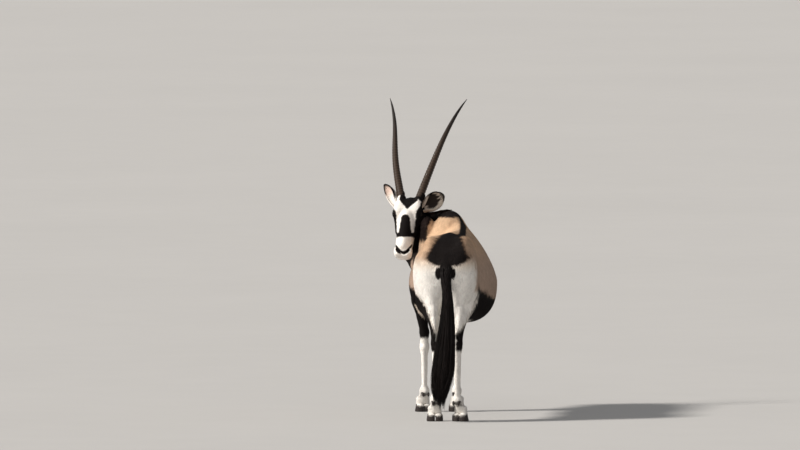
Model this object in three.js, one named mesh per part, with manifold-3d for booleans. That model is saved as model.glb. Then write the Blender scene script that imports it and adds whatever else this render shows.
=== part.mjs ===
// A gemsbok at life size. It stands with its rump towards -Y and looks back over its left shoulder.
// Millimetres, +Z up. The trunk heads along +Y, so the animal's own left side is at -X.
// The flesh is one smooth field of bones and muscles. The trunk, neck and thighs are meshed in the cells
// of a grid, and the head and lower legs as tubes of rings that are drawn out to the surface of the field.
// Neighbouring parts are trimmed along thin cuts.
import * as THREE from "three";
import { mergeVertices } from "three/addons/utils/BufferGeometryUtils.js";
import Module from "manifold-3d";

const wasm = await Module();
wasm.setup();

// Driving dimensions
const GAP = 0.3; // between parts that touch
const EYE_RADIUS = 19;
const LID_THICKNESS = 4.5;
const HORN_LENGTH = 770;
const HORN_BASE_RADIUS = 25;
const EAR_LENGTH = 178;
const EAR_THICKNESS = 5;
const CLAW_LENGTH = 98;
const CLAW_WIDTH = 41;
const TAIL_TIP_HEIGHT = 55;

const COLOURS = {
  fawn: "#b39a82",
  dark: "#2a211d",
  white: "#e9e3da",
  black: "#16130f",
  horn: "#4a3c32",
  hoof: "#2b2622",
  eye: "#120c08",
  ear: "#cdbcaa",
};

// Small sums on points
const add = (a, b) => [a[0] + b[0], a[1] + b[1], a[2] + b[2]];
const minus = (a, b) => [a[0] - b[0], a[1] - b[1], a[2] - b[2]];
const times = (a, k) => [a[0] * k, a[1] * k, a[2] * k];
const dot = (a, b) => a[0] * b[0] + a[1] * b[1] + a[2] * b[2];
const cross = (a, b) => [
  a[1] * b[2] - a[2] * b[1],
  a[2] * b[0] - a[0] * b[2],
  a[0] * b[1] - a[1] * b[0],
];
const unit = (a) => times(a, 1 / Math.hypot(...a));
const mix = (a, b, t) => add(times(a, 1 - t), times(b, t));
const clamp = THREE.MathUtils.clamp;
const radians = THREE.MathUtils.degToRad;
const steps = (count, f) => Array.from({ length: count + 1 }, (_, i) => f(i / count));

// A smooth curve through rows: the first number of a row is the place, and the others are values there.
function through(rows) {
  const last = rows.length - 1;
  const slope = (i, c) => {
    const a = rows[Math.max(i - 1, 0)];
    const b = rows[Math.min(i + 1, last)];
    return (b[c] - a[c]) / (b[0] - a[0]);
  };
  return (place) => {
    let i = 0;
    while (i < last - 1 && place > rows[i + 1][0]) i++;
    const [a, b] = [rows[i], rows[i + 1]];
    const step = b[0] - a[0];
    const t = clamp((place - a[0]) / step, 0, 1);
    const [t2, t3] = [t * t, t * t * t];
    return a.slice(1).map((value, k) => {
      const c = k + 1;
      return (
        (2 * t3 - 3 * t2 + 1) * value +
        (t3 - 2 * t2 + t) * step * slope(i, c) +
        (3 * t2 - 2 * t3) * b[c] +
        (t3 - t2) * step * slope(i + 1, c)
      );
    });
  };
}

// The field: each form gives a distance at x, y, z that is negative inside it.
const join = (a, b, k) => {
  const h = Math.max(k - Math.abs(a - b), 0) / k;
  return Math.min(a, b) - (h * h * k) / 4;
};

// A tapered rod with round ends. Its radius across X is multiplied by flat.
function bone(a, b, ra, rb, flat = 1) {
  const along = minus(b, a);
  const length2 = dot(along, along);
  return (x, y, z) => {
    const p = [x - a[0], y - a[1], z - a[2]];
    const t = clamp(dot(p, along) / length2, 0, 1);
    const q = [(p[0] - t * along[0]) / flat, p[1] - t * along[1], p[2] - t * along[2]];
    return Math.hypot(q[0], q[1], q[2]) - (ra + (rb - ra) * t);
  };
}

// An ellipsoid, leaned about X and then turned about Z, in degrees.
function mass(centre, radii, lean = 0, turn = 0) {
  const [cl, sl] = [Math.cos(radians(lean)), Math.sin(radians(lean))];
  const [ct, st] = [Math.cos(radians(turn)), Math.sin(radians(turn))];
  return (x, y, z) => {
    const [px, py, pz] = [x - centre[0], y - centre[1], z - centre[2]];
    const [qx, qy] = [ct * px + st * py, ct * py - st * px];
    const [ry, rz] = [cl * qy + sl * pz, cl * pz - sl * qy];
    const near = Math.hypot(qx / radii[0], ry / radii[1], rz / radii[2]);
    const slope = Math.hypot(qx / radii[0] ** 2, ry / radii[1] ** 2, rz / radii[2] ** 2);
    return slope < 1e-9 ? -Math.min(...radii) : (near * (near - 1)) / slope;
  };
}

// A body of oval sections along one axis. at(place) gives the section's middle across, low, high and
// half width, and the power that shapes its roof. widest is the share of the height at which it is widest.
function oval(at, first, last, widest, floor) {
  return (across, place, height) => {
    const [middle, low, high, half, roof] = at(clamp(place, first, last));
    const level = low + (high - low) * widest;
    const s = Math.abs(across - middle);
    const h = height - level;
    const power = h > 0 ? roof : floor;
    const reach = h > 0 ? high - level : level - low;
    const q = Math.pow(Math.pow(s / half, power) + Math.pow(Math.abs(h) / reach, power), 1 / power);
    const r = Math.hypot(s, h);
    const d = q < 1e-6 ? -Math.min(half, reach) : r * (1 - 1 / q);
    const past = Math.max(first - place, place - last, 0);
    return past > 0 ? Math.hypot(Math.max(d, 0), past) : d;
  };
}

// One field from a list of [form, blend]
function fieldOf(forms) {
  return (x, y, z) => forms.reduce((d, [form, k]) => join(d, form(x, y, z), k), 1e3);
}

// Trunk: place along Y, then middle across, low, high, half width and how full the roof is
const TRUNK = [
  [-598, -6, 812, 890, 34, 2],
  [-570, -8, 740, 944, 88, 1.9],
  [-500, -12, 672, 1006, 140, 1.8],
  [-400, -12, 632, 1046, 168, 1.7],
  [-280, -4, 588, 1062, 184, 1.6],
  [-150, 12, 556, 1064, 200, 1.48],
  [0, 30, 532, 1068, 213, 1.4],
  [120, 26, 540, 1086, 212, 1.4],
  [240, -4, 566, 1112, 198, 1.45],
  [340, -44, 596, 1140, 176, 1.55],
  [430, -84, 628, 1124, 156, 1.6],
  [510, -122, 676, 1050, 130, 1.8],
  [570, -150, 730, 980, 94, 2],
  [606, -160, 800, 910, 34, 2],
];
const trunkAt = through(TRUNK);
const trunkForm = oval(trunkAt, TRUNK[0][0], TRUNK.at(-1)[0], 0.43, 2.5);
const spineX = (y) => trunkAt(y)[0];

// Legs. Each list runs down the leg, and the hoof's heading is in degrees from +Y towards +X.
const LEGS = {
  hindleg_left: {
    hind: true,
    joints: {
      hip: [-100, -400, 900],
      stifle: [-142, -318, 676],
      hock: [-58, -552, 440],
      fetlock: [-62, -528, 128],
      coronet: [-67, -494, 52],
    },
    heading: -10,
  },
  hindleg_right: {
    hind: true,
    joints: {
      hip: [84, -400, 900],
      stifle: [120, -318, 676],
      hock: [70, -552, 440],
      fetlock: [66, -528, 128],
      coronet: [82, -492, 52],
    },
    heading: 12,
  },
  foreleg_left: {
    hind: false,
    joints: {
      shoulder: [-214, 500, 815],
      elbow: [-226, 366, 640],
      knee: [-203, 408, 368],
      fetlock: [-203, 416, 124],
      coronet: [-216, 448, 52],
    },
    heading: -20,
  },
  foreleg_right: {
    hind: false,
    joints: {
      shoulder: [2, 505, 815],
      elbow: [4, 366, 640],
      knee: [-12, 420, 368],
      fetlock: [-18, 428, 124],
      coronet: [-20, 460, 52],
    },
    heading: 2,
  },
};

// The bones and muscles of a leg, as [form, blend]
function hindForms({ hip, stifle, hock, fetlock, coronet }, side) {
  const out = (p, dx, dy, dz) => add(p, [side * dx, dy, dz]);
  return [
    [mass(out(hip, 6, -20, -40), [82, 150, 190], 8), 60],
    [bone(out(hip, -12, -108, -10), out(hip, -26, -118, -270), 80, 46, 0.86), 50],
    [bone(out(hip, 8, 40, -60), out(stifle, -10, 0, 10), 96, 58, 0.72), 60],
    [bone(out(stifle, -8, -16, -10), out(hock, 8, 46, 124), 66, 40, 0.72), 40],
    [bone(out(hock, 8, 46, 124), out(hock, 0, 8, 10), 40, 29, 0.8), 24],
    [bone(out(hock, 12, 12, 190), out(hock, 2, -34, 54), 26, 15, 0.8), 26],
    [mass(out(hock, 0, -34, 46), [15, 17, 26]), 14],
    [mass(out(hock, 0, 4, 2), [27, 36, 44]), 16],
    [bone(out(hock, 0, -2, -26), out(fetlock, 0, -2, 30), 24, 20, 0.86), 18],
    [bone(out(hock, 0, -26, -20), out(fetlock, 0, -20, 34), 13, 11), 14],
    ...footForms(fetlock, coronet),
  ];
}

function foreForms({ shoulder, elbow, knee, fetlock, coronet }, side) {
  const out = (p, dx, dy, dz) => add(p, [side * dx, dy, dz]);
  return [
    [bone(out(elbow, -44, -10, 420), out(shoulder, -12, -16, 30), 66, 70, 0.56), 60],
    [bone(shoulder, out(elbow, -4, 14, 0), 68, 52, 0.74), 50],
    [mass(out(elbow, 2, -32, 104), [58, 94, 124], -14), 50],
    [bone(out(elbow, 0, 0, 4), out(knee, 0, -2, 90), 52, 31, 0.78), 36],
    [bone(out(knee, 0, -2, 90), out(knee, 0, 0, 10), 31, 27, 0.88), 20],
    [mass(out(knee, 0, 6, 4), [29, 29, 42]), 14],
    [mass(out(knee, 0, -20, -2), [18, 18, 24]), 14],
    [bone(out(knee, 0, 2, -30), out(fetlock, 0, 0, 28), 23, 19, 0.9), 18],
    [bone(out(knee, 0, -20, -30), out(fetlock, 0, -17, 30), 12, 10), 14],
    ...footForms(fetlock, coronet),
  ];
}

function footForms(fetlock, coronet) {
  const heelward = unit([fetlock[0] - coronet[0], fetlock[1] - coronet[1], 0]);
  const across = [-heelward[1], heelward[0], 0];
  const forms = [
    [mass(fetlock, [27, 28, 30]), 14],
    [mass(add(fetlock, add(times(heelward, 15), [0, 0, -14])), [22, 16, 18]), 12],
    [bone(fetlock, add(coronet, [0, 0, 14]), 24, 28), 16],
  ];
  for (const toe of [-1, 1]) {
    const middle = add(coronet, times(across, toe * CLAW_WIDTH * 0.5));
    forms.push([bone(add(middle, [0, 0, 22]), add(middle, [0, 6, -12]), 19, 21), 8]);
  }
  return forms;
}

// Neck: the spine of the neck, its crest above and its throat below, each with radii
const NECK_SPINE = [
  [-60, 360, 968, 122],
  [-86, 490, 955, 104],
  [-116, 606, 964, 90],
  [-162, 700, 982, 82],
  [-224, 744, 1008, 76],
  [-278, 712, 1044, 72],
  [-292, 646, 1086, 66],
  [-286, 590, 1116, 61],
];
const NECK_CREST = [
  [-50, 352, 1073, 62],
  [-66, 490, 1087, 60],
  [-92, 606, 1091, 56],
  [-138, 706, 1084, 52],
  [-206, 764, 1075, 48],
  [-272, 732, 1097, 45],
  [-290, 656, 1142, 42],
  [-284, 586, 1168, 40],
];
const NECK_THROAT = [
  [-150, 486, 778, 104],
  [-192, 600, 816, 92],
  [-238, 694, 862, 82],
  [-274, 734, 900, 74],
  [-300, 706, 944, 68],
  [-304, 650, 990, 62],
  [-296, 590, 1036, 56],
];
const chain = (points, blend) =>
  fieldOf(
    points.slice(1).map((b, i) => {
      const a = points[i];
      return [bone(a.slice(0, 3), b.slice(0, 3), a[3], b[3]), blend];
    }),
  );

// Head frame: F runs down the face to the muzzle, U out of the forehead, S to the animal's left.
// Its origin is on the forehead, midway between the horns.
const HEAD_AT = [-297, 455, 1217];
const FACE_FROM_VERTICAL = radians(24);
const GAZE = radians(187.2); // from +Y towards -X
const ROLL = radians(4.4); // its right side is the higher one
const gaze = [Math.sin(GAZE), Math.cos(GAZE), 0];
const level = [-gaze[1], gaze[0], 0];
const S = add(times(level, Math.cos(ROLL)), [0, 0, -Math.sin(ROLL)]);
const down = add(times(level, -Math.sin(ROLL)), [0, 0, -Math.cos(ROLL)]);
const F = add(times(gaze, Math.sin(FACE_FROM_VERTICAL)), times(down, Math.cos(FACE_FROM_VERTICAL)));
const U = cross(F, S);
const toHead = (p) => {
  const q = minus(p, HEAD_AT);
  return [dot(q, S), dot(q, F), dot(q, U)];
};
const fromHead = ([s, f, u]) => add(HEAD_AT, add(times(S, s), add(times(F, f), times(U, u))));
const headWay = ([s, f, u]) => add(times(S, s), add(times(F, f), times(U, u)));

// Skull: place down the face, then middle across, low, high, half width and roof
const SKULL = [
  [-56, 0, -128, -110, 24, 2.3],
  [-44, 0, -140, -92, 44, 2.3],
  [-26, 0, -156, -56, 60, 2.3],
  [-8, 0, -170, -14, 67, 2.3],
  [14, 0, -180, 1, 70, 2.3],
  [60, 0, -184, 4, 72, 2.3],
  [105, 0, -172, -2, 66, 2.3],
  [160, 0, -148, -12, 57, 2.3],
  [215, 0, -131, -24, 50, 2.3],
  [262, 0, -124, -36, 48, 2.3],
  [296, 0, -120, -50, 49, 2.3],
  [320, 0, -112, -66, 42, 2.3],
  [334, 0, -100, -82, 22, 2.3],
];
const EYE_AT = [67, 74, -36];
const skullForm = oval(through(SKULL), SKULL[0][0], SKULL.at(-1)[0], 0.58, 2);
function skullMasses(s) {
  return [
    [mass([s * 60, EYE_AT[1], EYE_AT[2]], [27, 38, 30]), 16],
    [mass([s * 48, 40, -10], [30, 40, 18]), 16],
    [bone([s * 66, 88, -56], [s * 48, 176, -66], 17, 12), 20],
    [mass([s * 48, 42, -118], [32, 62, 56]), 24],
    [bone([s * 38, 60, -166], [s * 24, 262, -112], 20, 14), 20],
    [bone([s * 45, 12, -34], [s * 48, -10, -30], 30, 27), 14],
    [mass([s * 60, -46, -46], [22, 26, 24]), 18],
    [mass([s * 25, 296, -76], [26, 30, 24]), 14],
    [mass([s * 22, 306, -96], [27, 24, 15]), 10],
  ];
}
const headForms = [
  [skullForm, 1],
  ...skullMasses(1),
  ...skullMasses(-1),
  [bone([0, 90, -20], [0, 262, -50], 24, 20), 22],
  [mass([0, 292, -115], [27, 32, 13]), 8],
];

const headLocal = fieldOf(headForms);
const headForm = (x, y, z) => headLocal(...toHead([x, y, z]));

const shape = (sx) => [
  [mass([spineX(-290) + sx * 92, -276, 972], [62, 84, 66]), 60],
  [mass([spineX(-560) + sx * 60, -546, 880], [48, 44, 60]), 40],
];
const trunkForms = [
  [trunkForm, 1],
  [mass([-4, -552, 874], [72, 60, 84]), 50],
  [mass([-44, 320, 1074], [58, 150, 66], -6), 60],
  [mass([-164, 528, 762], [92, 84, 110], 20), 60],
  ...shape(1),
  ...shape(-1),
];
const neckForms = [
  [chain(NECK_SPINE, 16), 50],
  [chain(NECK_CREST, 16), 44],
  [chain(NECK_THROAT, 16), 44],
];
const legForms = (name) => {
  const { hind, joints } = LEGS[name];
  const side = name.endsWith("right") ? 1 : -1;
  return hind ? hindForms(joints, side) : foreForms(joints, side);
};
const bodyWithoutHead = fieldOf([
  ...trunkForms,
  ...Object.keys(LEGS).flatMap(legForms),
  ...neckForms,
]);
// The head grows out of the neck at the poll, and lies clear of it further down
const HEAD_CUT_AT = fromHead([0, 0, -128]);
function body(x, y, z, neckReach = 9e3) {
  const away = Math.hypot(x - HEAD_CUT_AT[0], y - HEAD_CUT_AT[1], z - HEAD_CUT_AT[2]);
  const blend = 3 + 31 * clamp(2 - away / 75, 0, 1);
  return join(Math.max(bodyWithoutHead(x, y, z), away - neckReach), headForm(x, y, z), blend);
}

// Thin cuts between parts. Each is a point, the way towards the first part, and the distance helper.
const plane = (at, way) => {
  const n = unit(way);
  return { n, d: dot(n, at), side: (p) => dot(n, p) - dot(n, at) };
};
const LEG_CUTS = {
  hindleg_left: [plane([-24, -420, 590], [-0.52, 0, -0.85]), plane([0, -205, 700], [0, -1, 0.12])],
  hindleg_right: [plane([4, -420, 590], [0.52, 0, -0.85]), plane([0, -205, 700], [0, -1, 0.12])],
  foreleg_left: [plane([-112, 400, 575], [-0.66, 0, -0.75]), plane([0, 262, 700], [0, 1, 0])],
  foreleg_right: [plane([-92, 400, 575], [0.66, 0, -0.75]), plane([0, 262, 700], [0, 1, 0])],
};
const MIDLINE_CUTS = {
  hindleg_left: plane([-14, 0, 0], [-1, 0, 0]),
  hindleg_right: plane([-6, 0, 0], [1, 0, 0]),
  foreleg_left: plane([-106, 0, 0], [-1, 0, 0]),
  foreleg_right: plane([-98, 0, 0], [1, 0, 0]),
};
const cutsOf = (leg) => [...LEG_CUTS[leg], MIDLINE_CUTS[leg]];
const NECK_AT = [-110, 524, 930];
const NECK_CUT = plane(NECK_AT, [-0.26, 0.83, 0.49]);
const MID_NECK_AT = [-182, 688, 960];
const MID_NECK_CUT = plane(MID_NECK_AT, [-0.92, 0.39, 0]);
const HEAD_CUT = plane(HEAD_CUT_AT, headWay([0, 0.56, 0.83]));

// Solids from closed meshes
function solid(geometry) {
  geometry.deleteAttribute("normal");
  geometry.deleteAttribute("uv");
  const merged = mergeVertices(geometry, 1e-3);
  const vertProperties = new Float32Array(merged.attributes.position.array);
  const triVerts = new Uint32Array(merged.index.array);
  const made = new wasm.Manifold(new wasm.Mesh({ numProp: 3, vertProperties, triVerts }));
  if (made.volume() > 0) return made;
  for (let i = 0; i < triVerts.length; i += 3) {
    [triVerts[i + 1], triVerts[i + 2]] = [triVerts[i + 2], triVerts[i + 1]];
  }
  return new wasm.Manifold(new wasm.Mesh({ numProp: 3, vertProperties, triVerts }));
}
// What is left of a part beside a neighbour, with a gap between them along the way out of the neighbour
const clearOf = (made, neighbour, way) =>
  [0, 0.7, 1.4].reduce((left, k) => left.subtract(neighbour.translate(times(way, GAP * k))), made);
const biggest = (made) => made.decompose().sort((a, b) => b.volume() - a.volume())[0];
const after = (made, cut) => made.trimByPlane(cut.n, cut.d + GAP / 2);
const before = (made, cut) => made.trimByPlane(times(cut.n, -1), GAP / 2 - cut.d);

// A closed mesh from rings of points, all with the same count, with a flat end on each. A ring that is a
// crescent is closed by a strip between its two arcs, and any other by a fan round its middle.
function loft(rings, crescent = false) {
  const sides = rings[0].length;
  const middle = (ring) => times(ring.reduce(add), 1 / sides);
  const ends = crescent ? [] : [middle(rings[0]), middle(rings.at(-1))];
  const points = [...rings.flat(), ...ends];
  const index = [];
  const [start, end] = [points.length - 2, points.length - 1];
  const top = (rings.length - 1) * sides;
  for (let j = 0; j < sides; j++) {
    const k = (j + 1) % sides;
    for (let i = 0; i < rings.length - 1; i++) {
      const [a, b] = [i * sides, (i + 1) * sides];
      index.push(a + j, a + k, b + j, a + k, b + k, b + j);
    }
    if (!crescent) index.push(start, k, j, end, top + j, top + k);
  }
  if (crescent) {
    for (let j = 0; j < sides / 2 - 1; j++) {
      const [k, l, m] = [j + 1, sides - 1 - j, sides - 2 - j];
      index.push(j, l, k, k, l, m);
      index.push(top + j, top + k, top + l, top + k, top + m, top + l);
    }
  }
  const geometry = new THREE.BufferGeometry();
  geometry.setAttribute("position", new THREE.Float32BufferAttribute(points.flat(), 3));
  geometry.setIndex(index);
  return geometry;
}

// A closed mesh of the field in a box of cells, with one point in each cell that the surface crosses.
// Where two sheets of the surface share a cell they would meet along a line, so the cells are then shifted.
function net(field, lows, highs, spacing) {
  let best = null;
  for (const shift of [0, 0.31, 0.57, 0.79, 0.17, 0.43]) {
    const start = lows.map((low, c) => low - shift * spacing[c]);
    const made = netFrom(field, start, highs, spacing);
    if (!best || made.shared < best.shared) best = made;
    if (best.shared === 0) break;
  }
  return best.geometry;
}

function netFrom(field, lows, highs, spacing) {
  const counts = lows.map((low, c) => Math.ceil((highs[c] - low) / spacing[c]) + 1);
  const [nx, ny, nz] = counts;
  const at = (i, j, k) => [i, j, k].map((n, c) => lows[c] + n * spacing[c]);
  const number = (i, j, k) => (k * ny + j) * nx + i;
  const values = new Float64Array(nx * ny * nz).fill(1);
  for (let k = 1; k < nz - 1; k++) {
    for (let j = 1; j < ny - 1; j++) {
      for (let i = 1; i < nx - 1; i++) values[number(i, j, k)] = field(...at(i, j, k)) || 1e-6;
    }
  }
  const points = [];
  const pointOf = new Map();
  const settle = (p) => {
    let q = p;
    for (let turn = 0; turn < 3; turn++) {
      const [x, y, z] = q;
      const here = field(x, y, z);
      const slope = [field(x + 1, y, z) - here, field(x, y + 1, z) - here, field(x, y, z + 1) - here];
      const steep = Math.max(dot(slope, slope), 0.2);
      q = minus(q, times(slope, here / steep));
    }
    return Math.hypot(...minus(q, p)) < spacing[0] * 0.45 ? q : p;
  };
  const corners = [0, 1, 2, 3, 4, 5, 6, 7].map((b) => [b & 1, (b >> 1) & 1, b >> 2]);
  for (let k = 0; k < nz - 1; k++) {
    for (let j = 0; j < ny - 1; j++) {
      for (let i = 0; i < nx - 1; i++) {
        const held = corners.map(([a, b, c]) => values[number(i + a, j + b, k + c)]);
        const inside = held.filter((v) => v < 0).length;
        if (inside === 0 || inside === 8) continue;
        const crossings = [];
        corners.forEach((from, m) => {
          for (const bit of [1, 2, 4]) {
            if (m & bit || held[m] < 0 === held[m | bit] < 0) continue;
            const to = corners[m | bit];
            crossings.push(mix(from, to, held[m] / (held[m] - held[m | bit])));
          }
        });
        const [a, b, c] = times(crossings.reduce(add), 1 / crossings.length);
        pointOf.set(number(i, j, k), points.length);
        points.push(settle(at(i + a, j + b, k + c)));
      }
    }
  }
  const quads = [];
  for (let k = 0; k < nz - 1; k++) {
    for (let j = 0; j < ny - 1; j++) {
      for (let i = 0; i < nx - 1; i++) {
        const here = values[number(i, j, k)] < 0;
        const ways = [
          [[1, 0, 0], [0, -1, 0], [0, 0, -1]],
          [[0, 1, 0], [0, 0, -1], [-1, 0, 0]],
          [[0, 0, 1], [-1, 0, 0], [0, -1, 0]],
        ];
        for (const [[a, b, c], u, v] of ways) {
          if (values[number(i + a, j + b, k + c)] < 0 === here) continue;
          const cell = (p, q) => pointOf.get(number(...add([i, j, k], add(times(u, p), times(v, q)))));
          const around = [cell(0, 0), cell(1, 0), cell(1, 1), cell(0, 1)];
          quads.push(here ? around : around.reverse());
        }
      }
    }
  }
  // Each quad is split along its shorter diagonal, unless other faces meet along that line
  const index = [];
  const gap = (a, b) => Math.hypot(...minus(points[a], points[b]));
  const edge = (a, b) => Math.min(a, b) * points.length + Math.max(a, b);
  const used = new Set(quads.flatMap((ring) => ring.map((a, i) => edge(a, ring[(i + 1) % 4]))));
  for (const [a, b, c, d] of quads) {
    const short = used.has(edge(b, d)) || (gap(a, c) < gap(b, d) && !used.has(edge(a, c)));
    used.add(short ? edge(a, c) : edge(b, d));
    if (short) index.push(a, b, c, a, c, d);
    else index.push(a, b, d, b, c, d);
  }
  const runs = new Set();
  for (let i = 0; i < index.length; i += 3) {
    for (const k of [0, 1, 2]) runs.add(index[i + k] * points.length + index[i + ((k + 1) % 3)]);
  }
  const geometry = new THREE.BufferGeometry();
  geometry.setAttribute("position", new THREE.Float32BufferAttribute(points.flat(), 3));
  geometry.setIndex(index);
  return { geometry, shared: index.length - runs.size };
}

// How far a ray from inside the field runs before it leaves it
function reach(field, from, way, most = 700) {
  const STEP = 5;
  let near = 0;
  let far = STEP;
  while (far < most && field(...add(from, times(way, far))) < 0) {
    near = far;
    far += STEP;
  }
  for (let i = 0; i < 12; i++) {
    const half = (near + far) / 2;
    if (field(...add(from, times(way, half))) < 0) near = half;
    else far = half;
  }
  return near;
}

// A tube of the field: stations give a middle and two ways across, and rays run out from each middle
function tube(field, stations, sides, extra = 0) {
  return loft(
    stations.map(({ at, a, b }) =>
      Array.from({ length: sides }, (_, j) => {
        const turn = (2 * Math.PI * j) / sides;
        const way = unit(add(times(a, Math.cos(turn)), times(b, Math.sin(turn))));
        return add(at, times(way, Math.max(reach(field, at, way), 1) + extra));
      }),
    ),
  );
}
// A lock of hair: a flat rod that tapers to its tip. Rows are middle, way across, width and thickness.
function lock(rows) {
  const rings = rows.map(({ at, across, wide, thick }, i) => {
    const way = unit(minus(rows[Math.min(i + 1, rows.length - 1)].at, rows[Math.max(i - 1, 0)].at));
    const flat = unit(minus(across, times(way, dot(across, way))));
    const out = cross(way, flat);
    const [w, t] = [wide / 2, thick / 2];
    return [times(flat, w), times(out, t), times(flat, -w), times(out, -t)].map((p) => add(at, p));
  });
  return solid(loft(rings));
}
const fused = (core, locks) => wasm.Manifold.union([core, ...locks]);

// Mane: short locks along the crest, which lie back towards the withers
const MANE_LENGTH = 72;
const MANE_PAIRS = 12;
const maneLine = through(
  [[-22, 180, 1040], [-40, 270, 1060], ...NECK_CREST.map((row) => row.slice(0, 3))].map((p, i) => [i, ...p]),
);
function makeMane() {
  const locks = [];
  for (let i = 0; i < MANE_PAIRS * 2; i++) {
    const share = i / (MANE_PAIRS * 2 - 1);
    const place = 0.4 + share * 8.1;
    const side = i % 2 ? 1 : -1;
    const at = maneLine(place);
    const back = unit(minus(maneLine(place - 0.3), at));
    const across = unit(cross(back, [0, 0, 1]));
    const up = unit(add([0, 0, 1], times(across, side * 0.22)));
    const top = add(at, times(up, reach(bodyWithoutHead, at, up)));
    const long = MANE_LENGTH * (0.9 + 0.2 * Math.sin(i * 2.4));
    const row = (along, rise, wide, thick) => ({
      at: add(top, add(times(back, long * along), add(times(up, rise), times(across, side * along * 4)))),
      across,
      wide,
      thick,
    });
    locks.push(
      lock([row(-0.2, -22, 26, 13), row(0.3, 4, 30, 11), row(0.75, 11, 17, 7), row(1, 8, 3, 2)]),
    );
  }
  return locks;
}
const mane = makeMane();

// Torso
const MARGIN = 30; // how far a part's rough mesh runs past its cuts
const legNames = Object.keys(LEGS);
const wayIn = (p, leg) => Math.min(...cutsOf(leg).map((cut) => cut.side(p)));
const torsoField = (x, y, z) => {
  const p = [x, y, z];
  const inLeg = Math.max(...legNames.map((leg) => wayIn(p, leg)));
  return Math.max(bodyWithoutHead(x, y, z), inLeg - MARGIN, NECK_CUT.side(p) - MARGIN);
};
const TORSO_CELL = [41, 52, 41];
const roughTorso = (extra) =>
  solid(net((x, y, z) => torsoField(x, y, z) - extra, [-420, -700, 480], [290, 800, 1230], TORSO_CELL));

// The space of a leg, to cut it out of the torso
function legSpace(leg) {
  const SPAN = 2400;
  let made = solid(new THREE.BoxGeometry(SPAN, SPAN, SPAN));
  for (const cut of cutsOf(leg)) made = made.trimByPlane(cut.n, cut.d - GAP / 2);
  return made;
}
function makeTorso() {
  let made = before(fused(roughTorso(0), mane), NECK_CUT);
  for (const leg of legNames) made = made.subtract(legSpace(leg));
  return biggest(made);
}

// Stations along a path of middles and headings, from one of its rows to another. Every row is a
// station, and the space between rows is filled at about the spacing.
function stationsAlong(path, first, last, spacing, sideways) {
  const places = [0];
  for (let i = 1; i < path.length; i++) {
    places.push(places[i - 1] + Math.hypot(...minus(path[i].at, path[i - 1].at)));
  }
  const curve = through(path.map(({ at, n }, i) => [places[i], ...at, ...n]));
  const wanted = [places[first]];
  for (let i = first; i < last; i++) {
    const count = Math.max(Math.round((places[i + 1] - places[i]) / spacing), 1);
    for (let k = 1; k <= count; k++) {
      wanted.push(places[i] + ((places[i + 1] - places[i]) * k) / count);
    }
  }
  return wanted.map((place) => {
    const v = curve(place);
    const n = unit(v.slice(3));
    const a = unit(sideways(n));
    return { at: v.slice(0, 3), a, b: cross(a, n) };
  });
}

// Neck: it is wide, and it folds on its left side
const NECK_CELL = [31, 31, 31];
function makeNeck(flesh, from, to, lows, highs) {
  const field = (x, y, z) => {
    const [past, short] = [from.side([x, y, z]), to.side([x, y, z])];
    return Math.max(flesh(x, y, z), -past - MARGIN, short - MARGIN);
  };
  return biggest(before(after(fused(solid(net(field, lows, highs, NECK_CELL)), mane), from), to));
}

// Head
const HEAD_CELL = [16, 16, 16];
const headField = (x, y, z) => Math.max(body(x, y, z, 120), -HEAD_CUT.side([x, y, z]) - 20);
const headMiddle = through([
  [-50, -98],
  [-30, -90],
  [0, -84],
  [60, -88],
  [160, -80],
  [260, -78],
  [334, -90],
]);
const roughHead = (extra) =>
  biggest(
    solid(net((x, y, z) => headField(x, y, z) - extra, [-443, 330, 837], [-150, 680, 1290], HEAD_CELL)),
  );

// Two eyes sit in sockets under lids. A lid is the rim of a shell over the eye with an almond opening.
const eyeWay = (side) => unit(headWay([side * 0.93, 0.1, 0.36]));
const eyePlace = (side) => fromHead([side * EYE_AT[0], EYE_AT[1], EYE_AT[2]]);
function almond(side) {
  const way = eyeWay(side);
  const along = unit(cross(way, cross(headWay([0, 0.94, -0.34]), way)));
  const up = cross(way, along);
  const at = eyePlace(side);
  const ring = (out, grow) =>
    Array.from({ length: 16 }, (_, i) => {
      const turn = (2 * Math.PI * i) / 16;
      const [c, s] = [Math.cos(turn), Math.sin(turn)];
      const tall = 9.5 * (1 - 0.35 * Math.abs(c) ** 3);
      return add(at, add(times(way, out), add(times(along, c * 16.5 * grow), times(up, s * tall * grow))));
    });
  return solid(loft([ring(6, 0.9), ring(EYE_RADIUS, 1), ring(EYE_RADIUS + 14, 1.5)]));
}
const ball = (radius, at) =>
  solid(new THREE.SphereGeometry(radius, 16, 10)).translate(at);

// A thin rod along points, to cut a groove or raise a ridge
function rod(points, radii, sides = 8) {
  const rings = points.map((p, i) => {
    const way = unit(minus(points[Math.min(i + 1, points.length - 1)], points[Math.max(i - 1, 0)]));
    const side = unit(cross(way, Math.abs(way[2]) > 0.9 ? [1, 0, 0] : [0, 0, 1]));
    const other = cross(way, side);
    return Array.from({ length: sides }, (_, j) => {
      const turn = (2 * Math.PI * j) / sides;
      const r = radii[i];
      return add(p, add(times(side, r * Math.cos(turn)), times(other, r * Math.sin(turn))));
    });
  });
  return solid(loft(rings));
}
// A point on the skin of the head, at f and a direction in degrees from U towards the side
function onHead(f, degrees, side, sink = 0) {
  const at = fromHead([0, f, headMiddle(f)[0]]);
  const turn = radians(degrees) * side;
  const way = add(times(U, Math.cos(turn)), times(S, Math.sin(turn)));
  return add(at, times(way, reach(headField, at, way) - sink));
}

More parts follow.
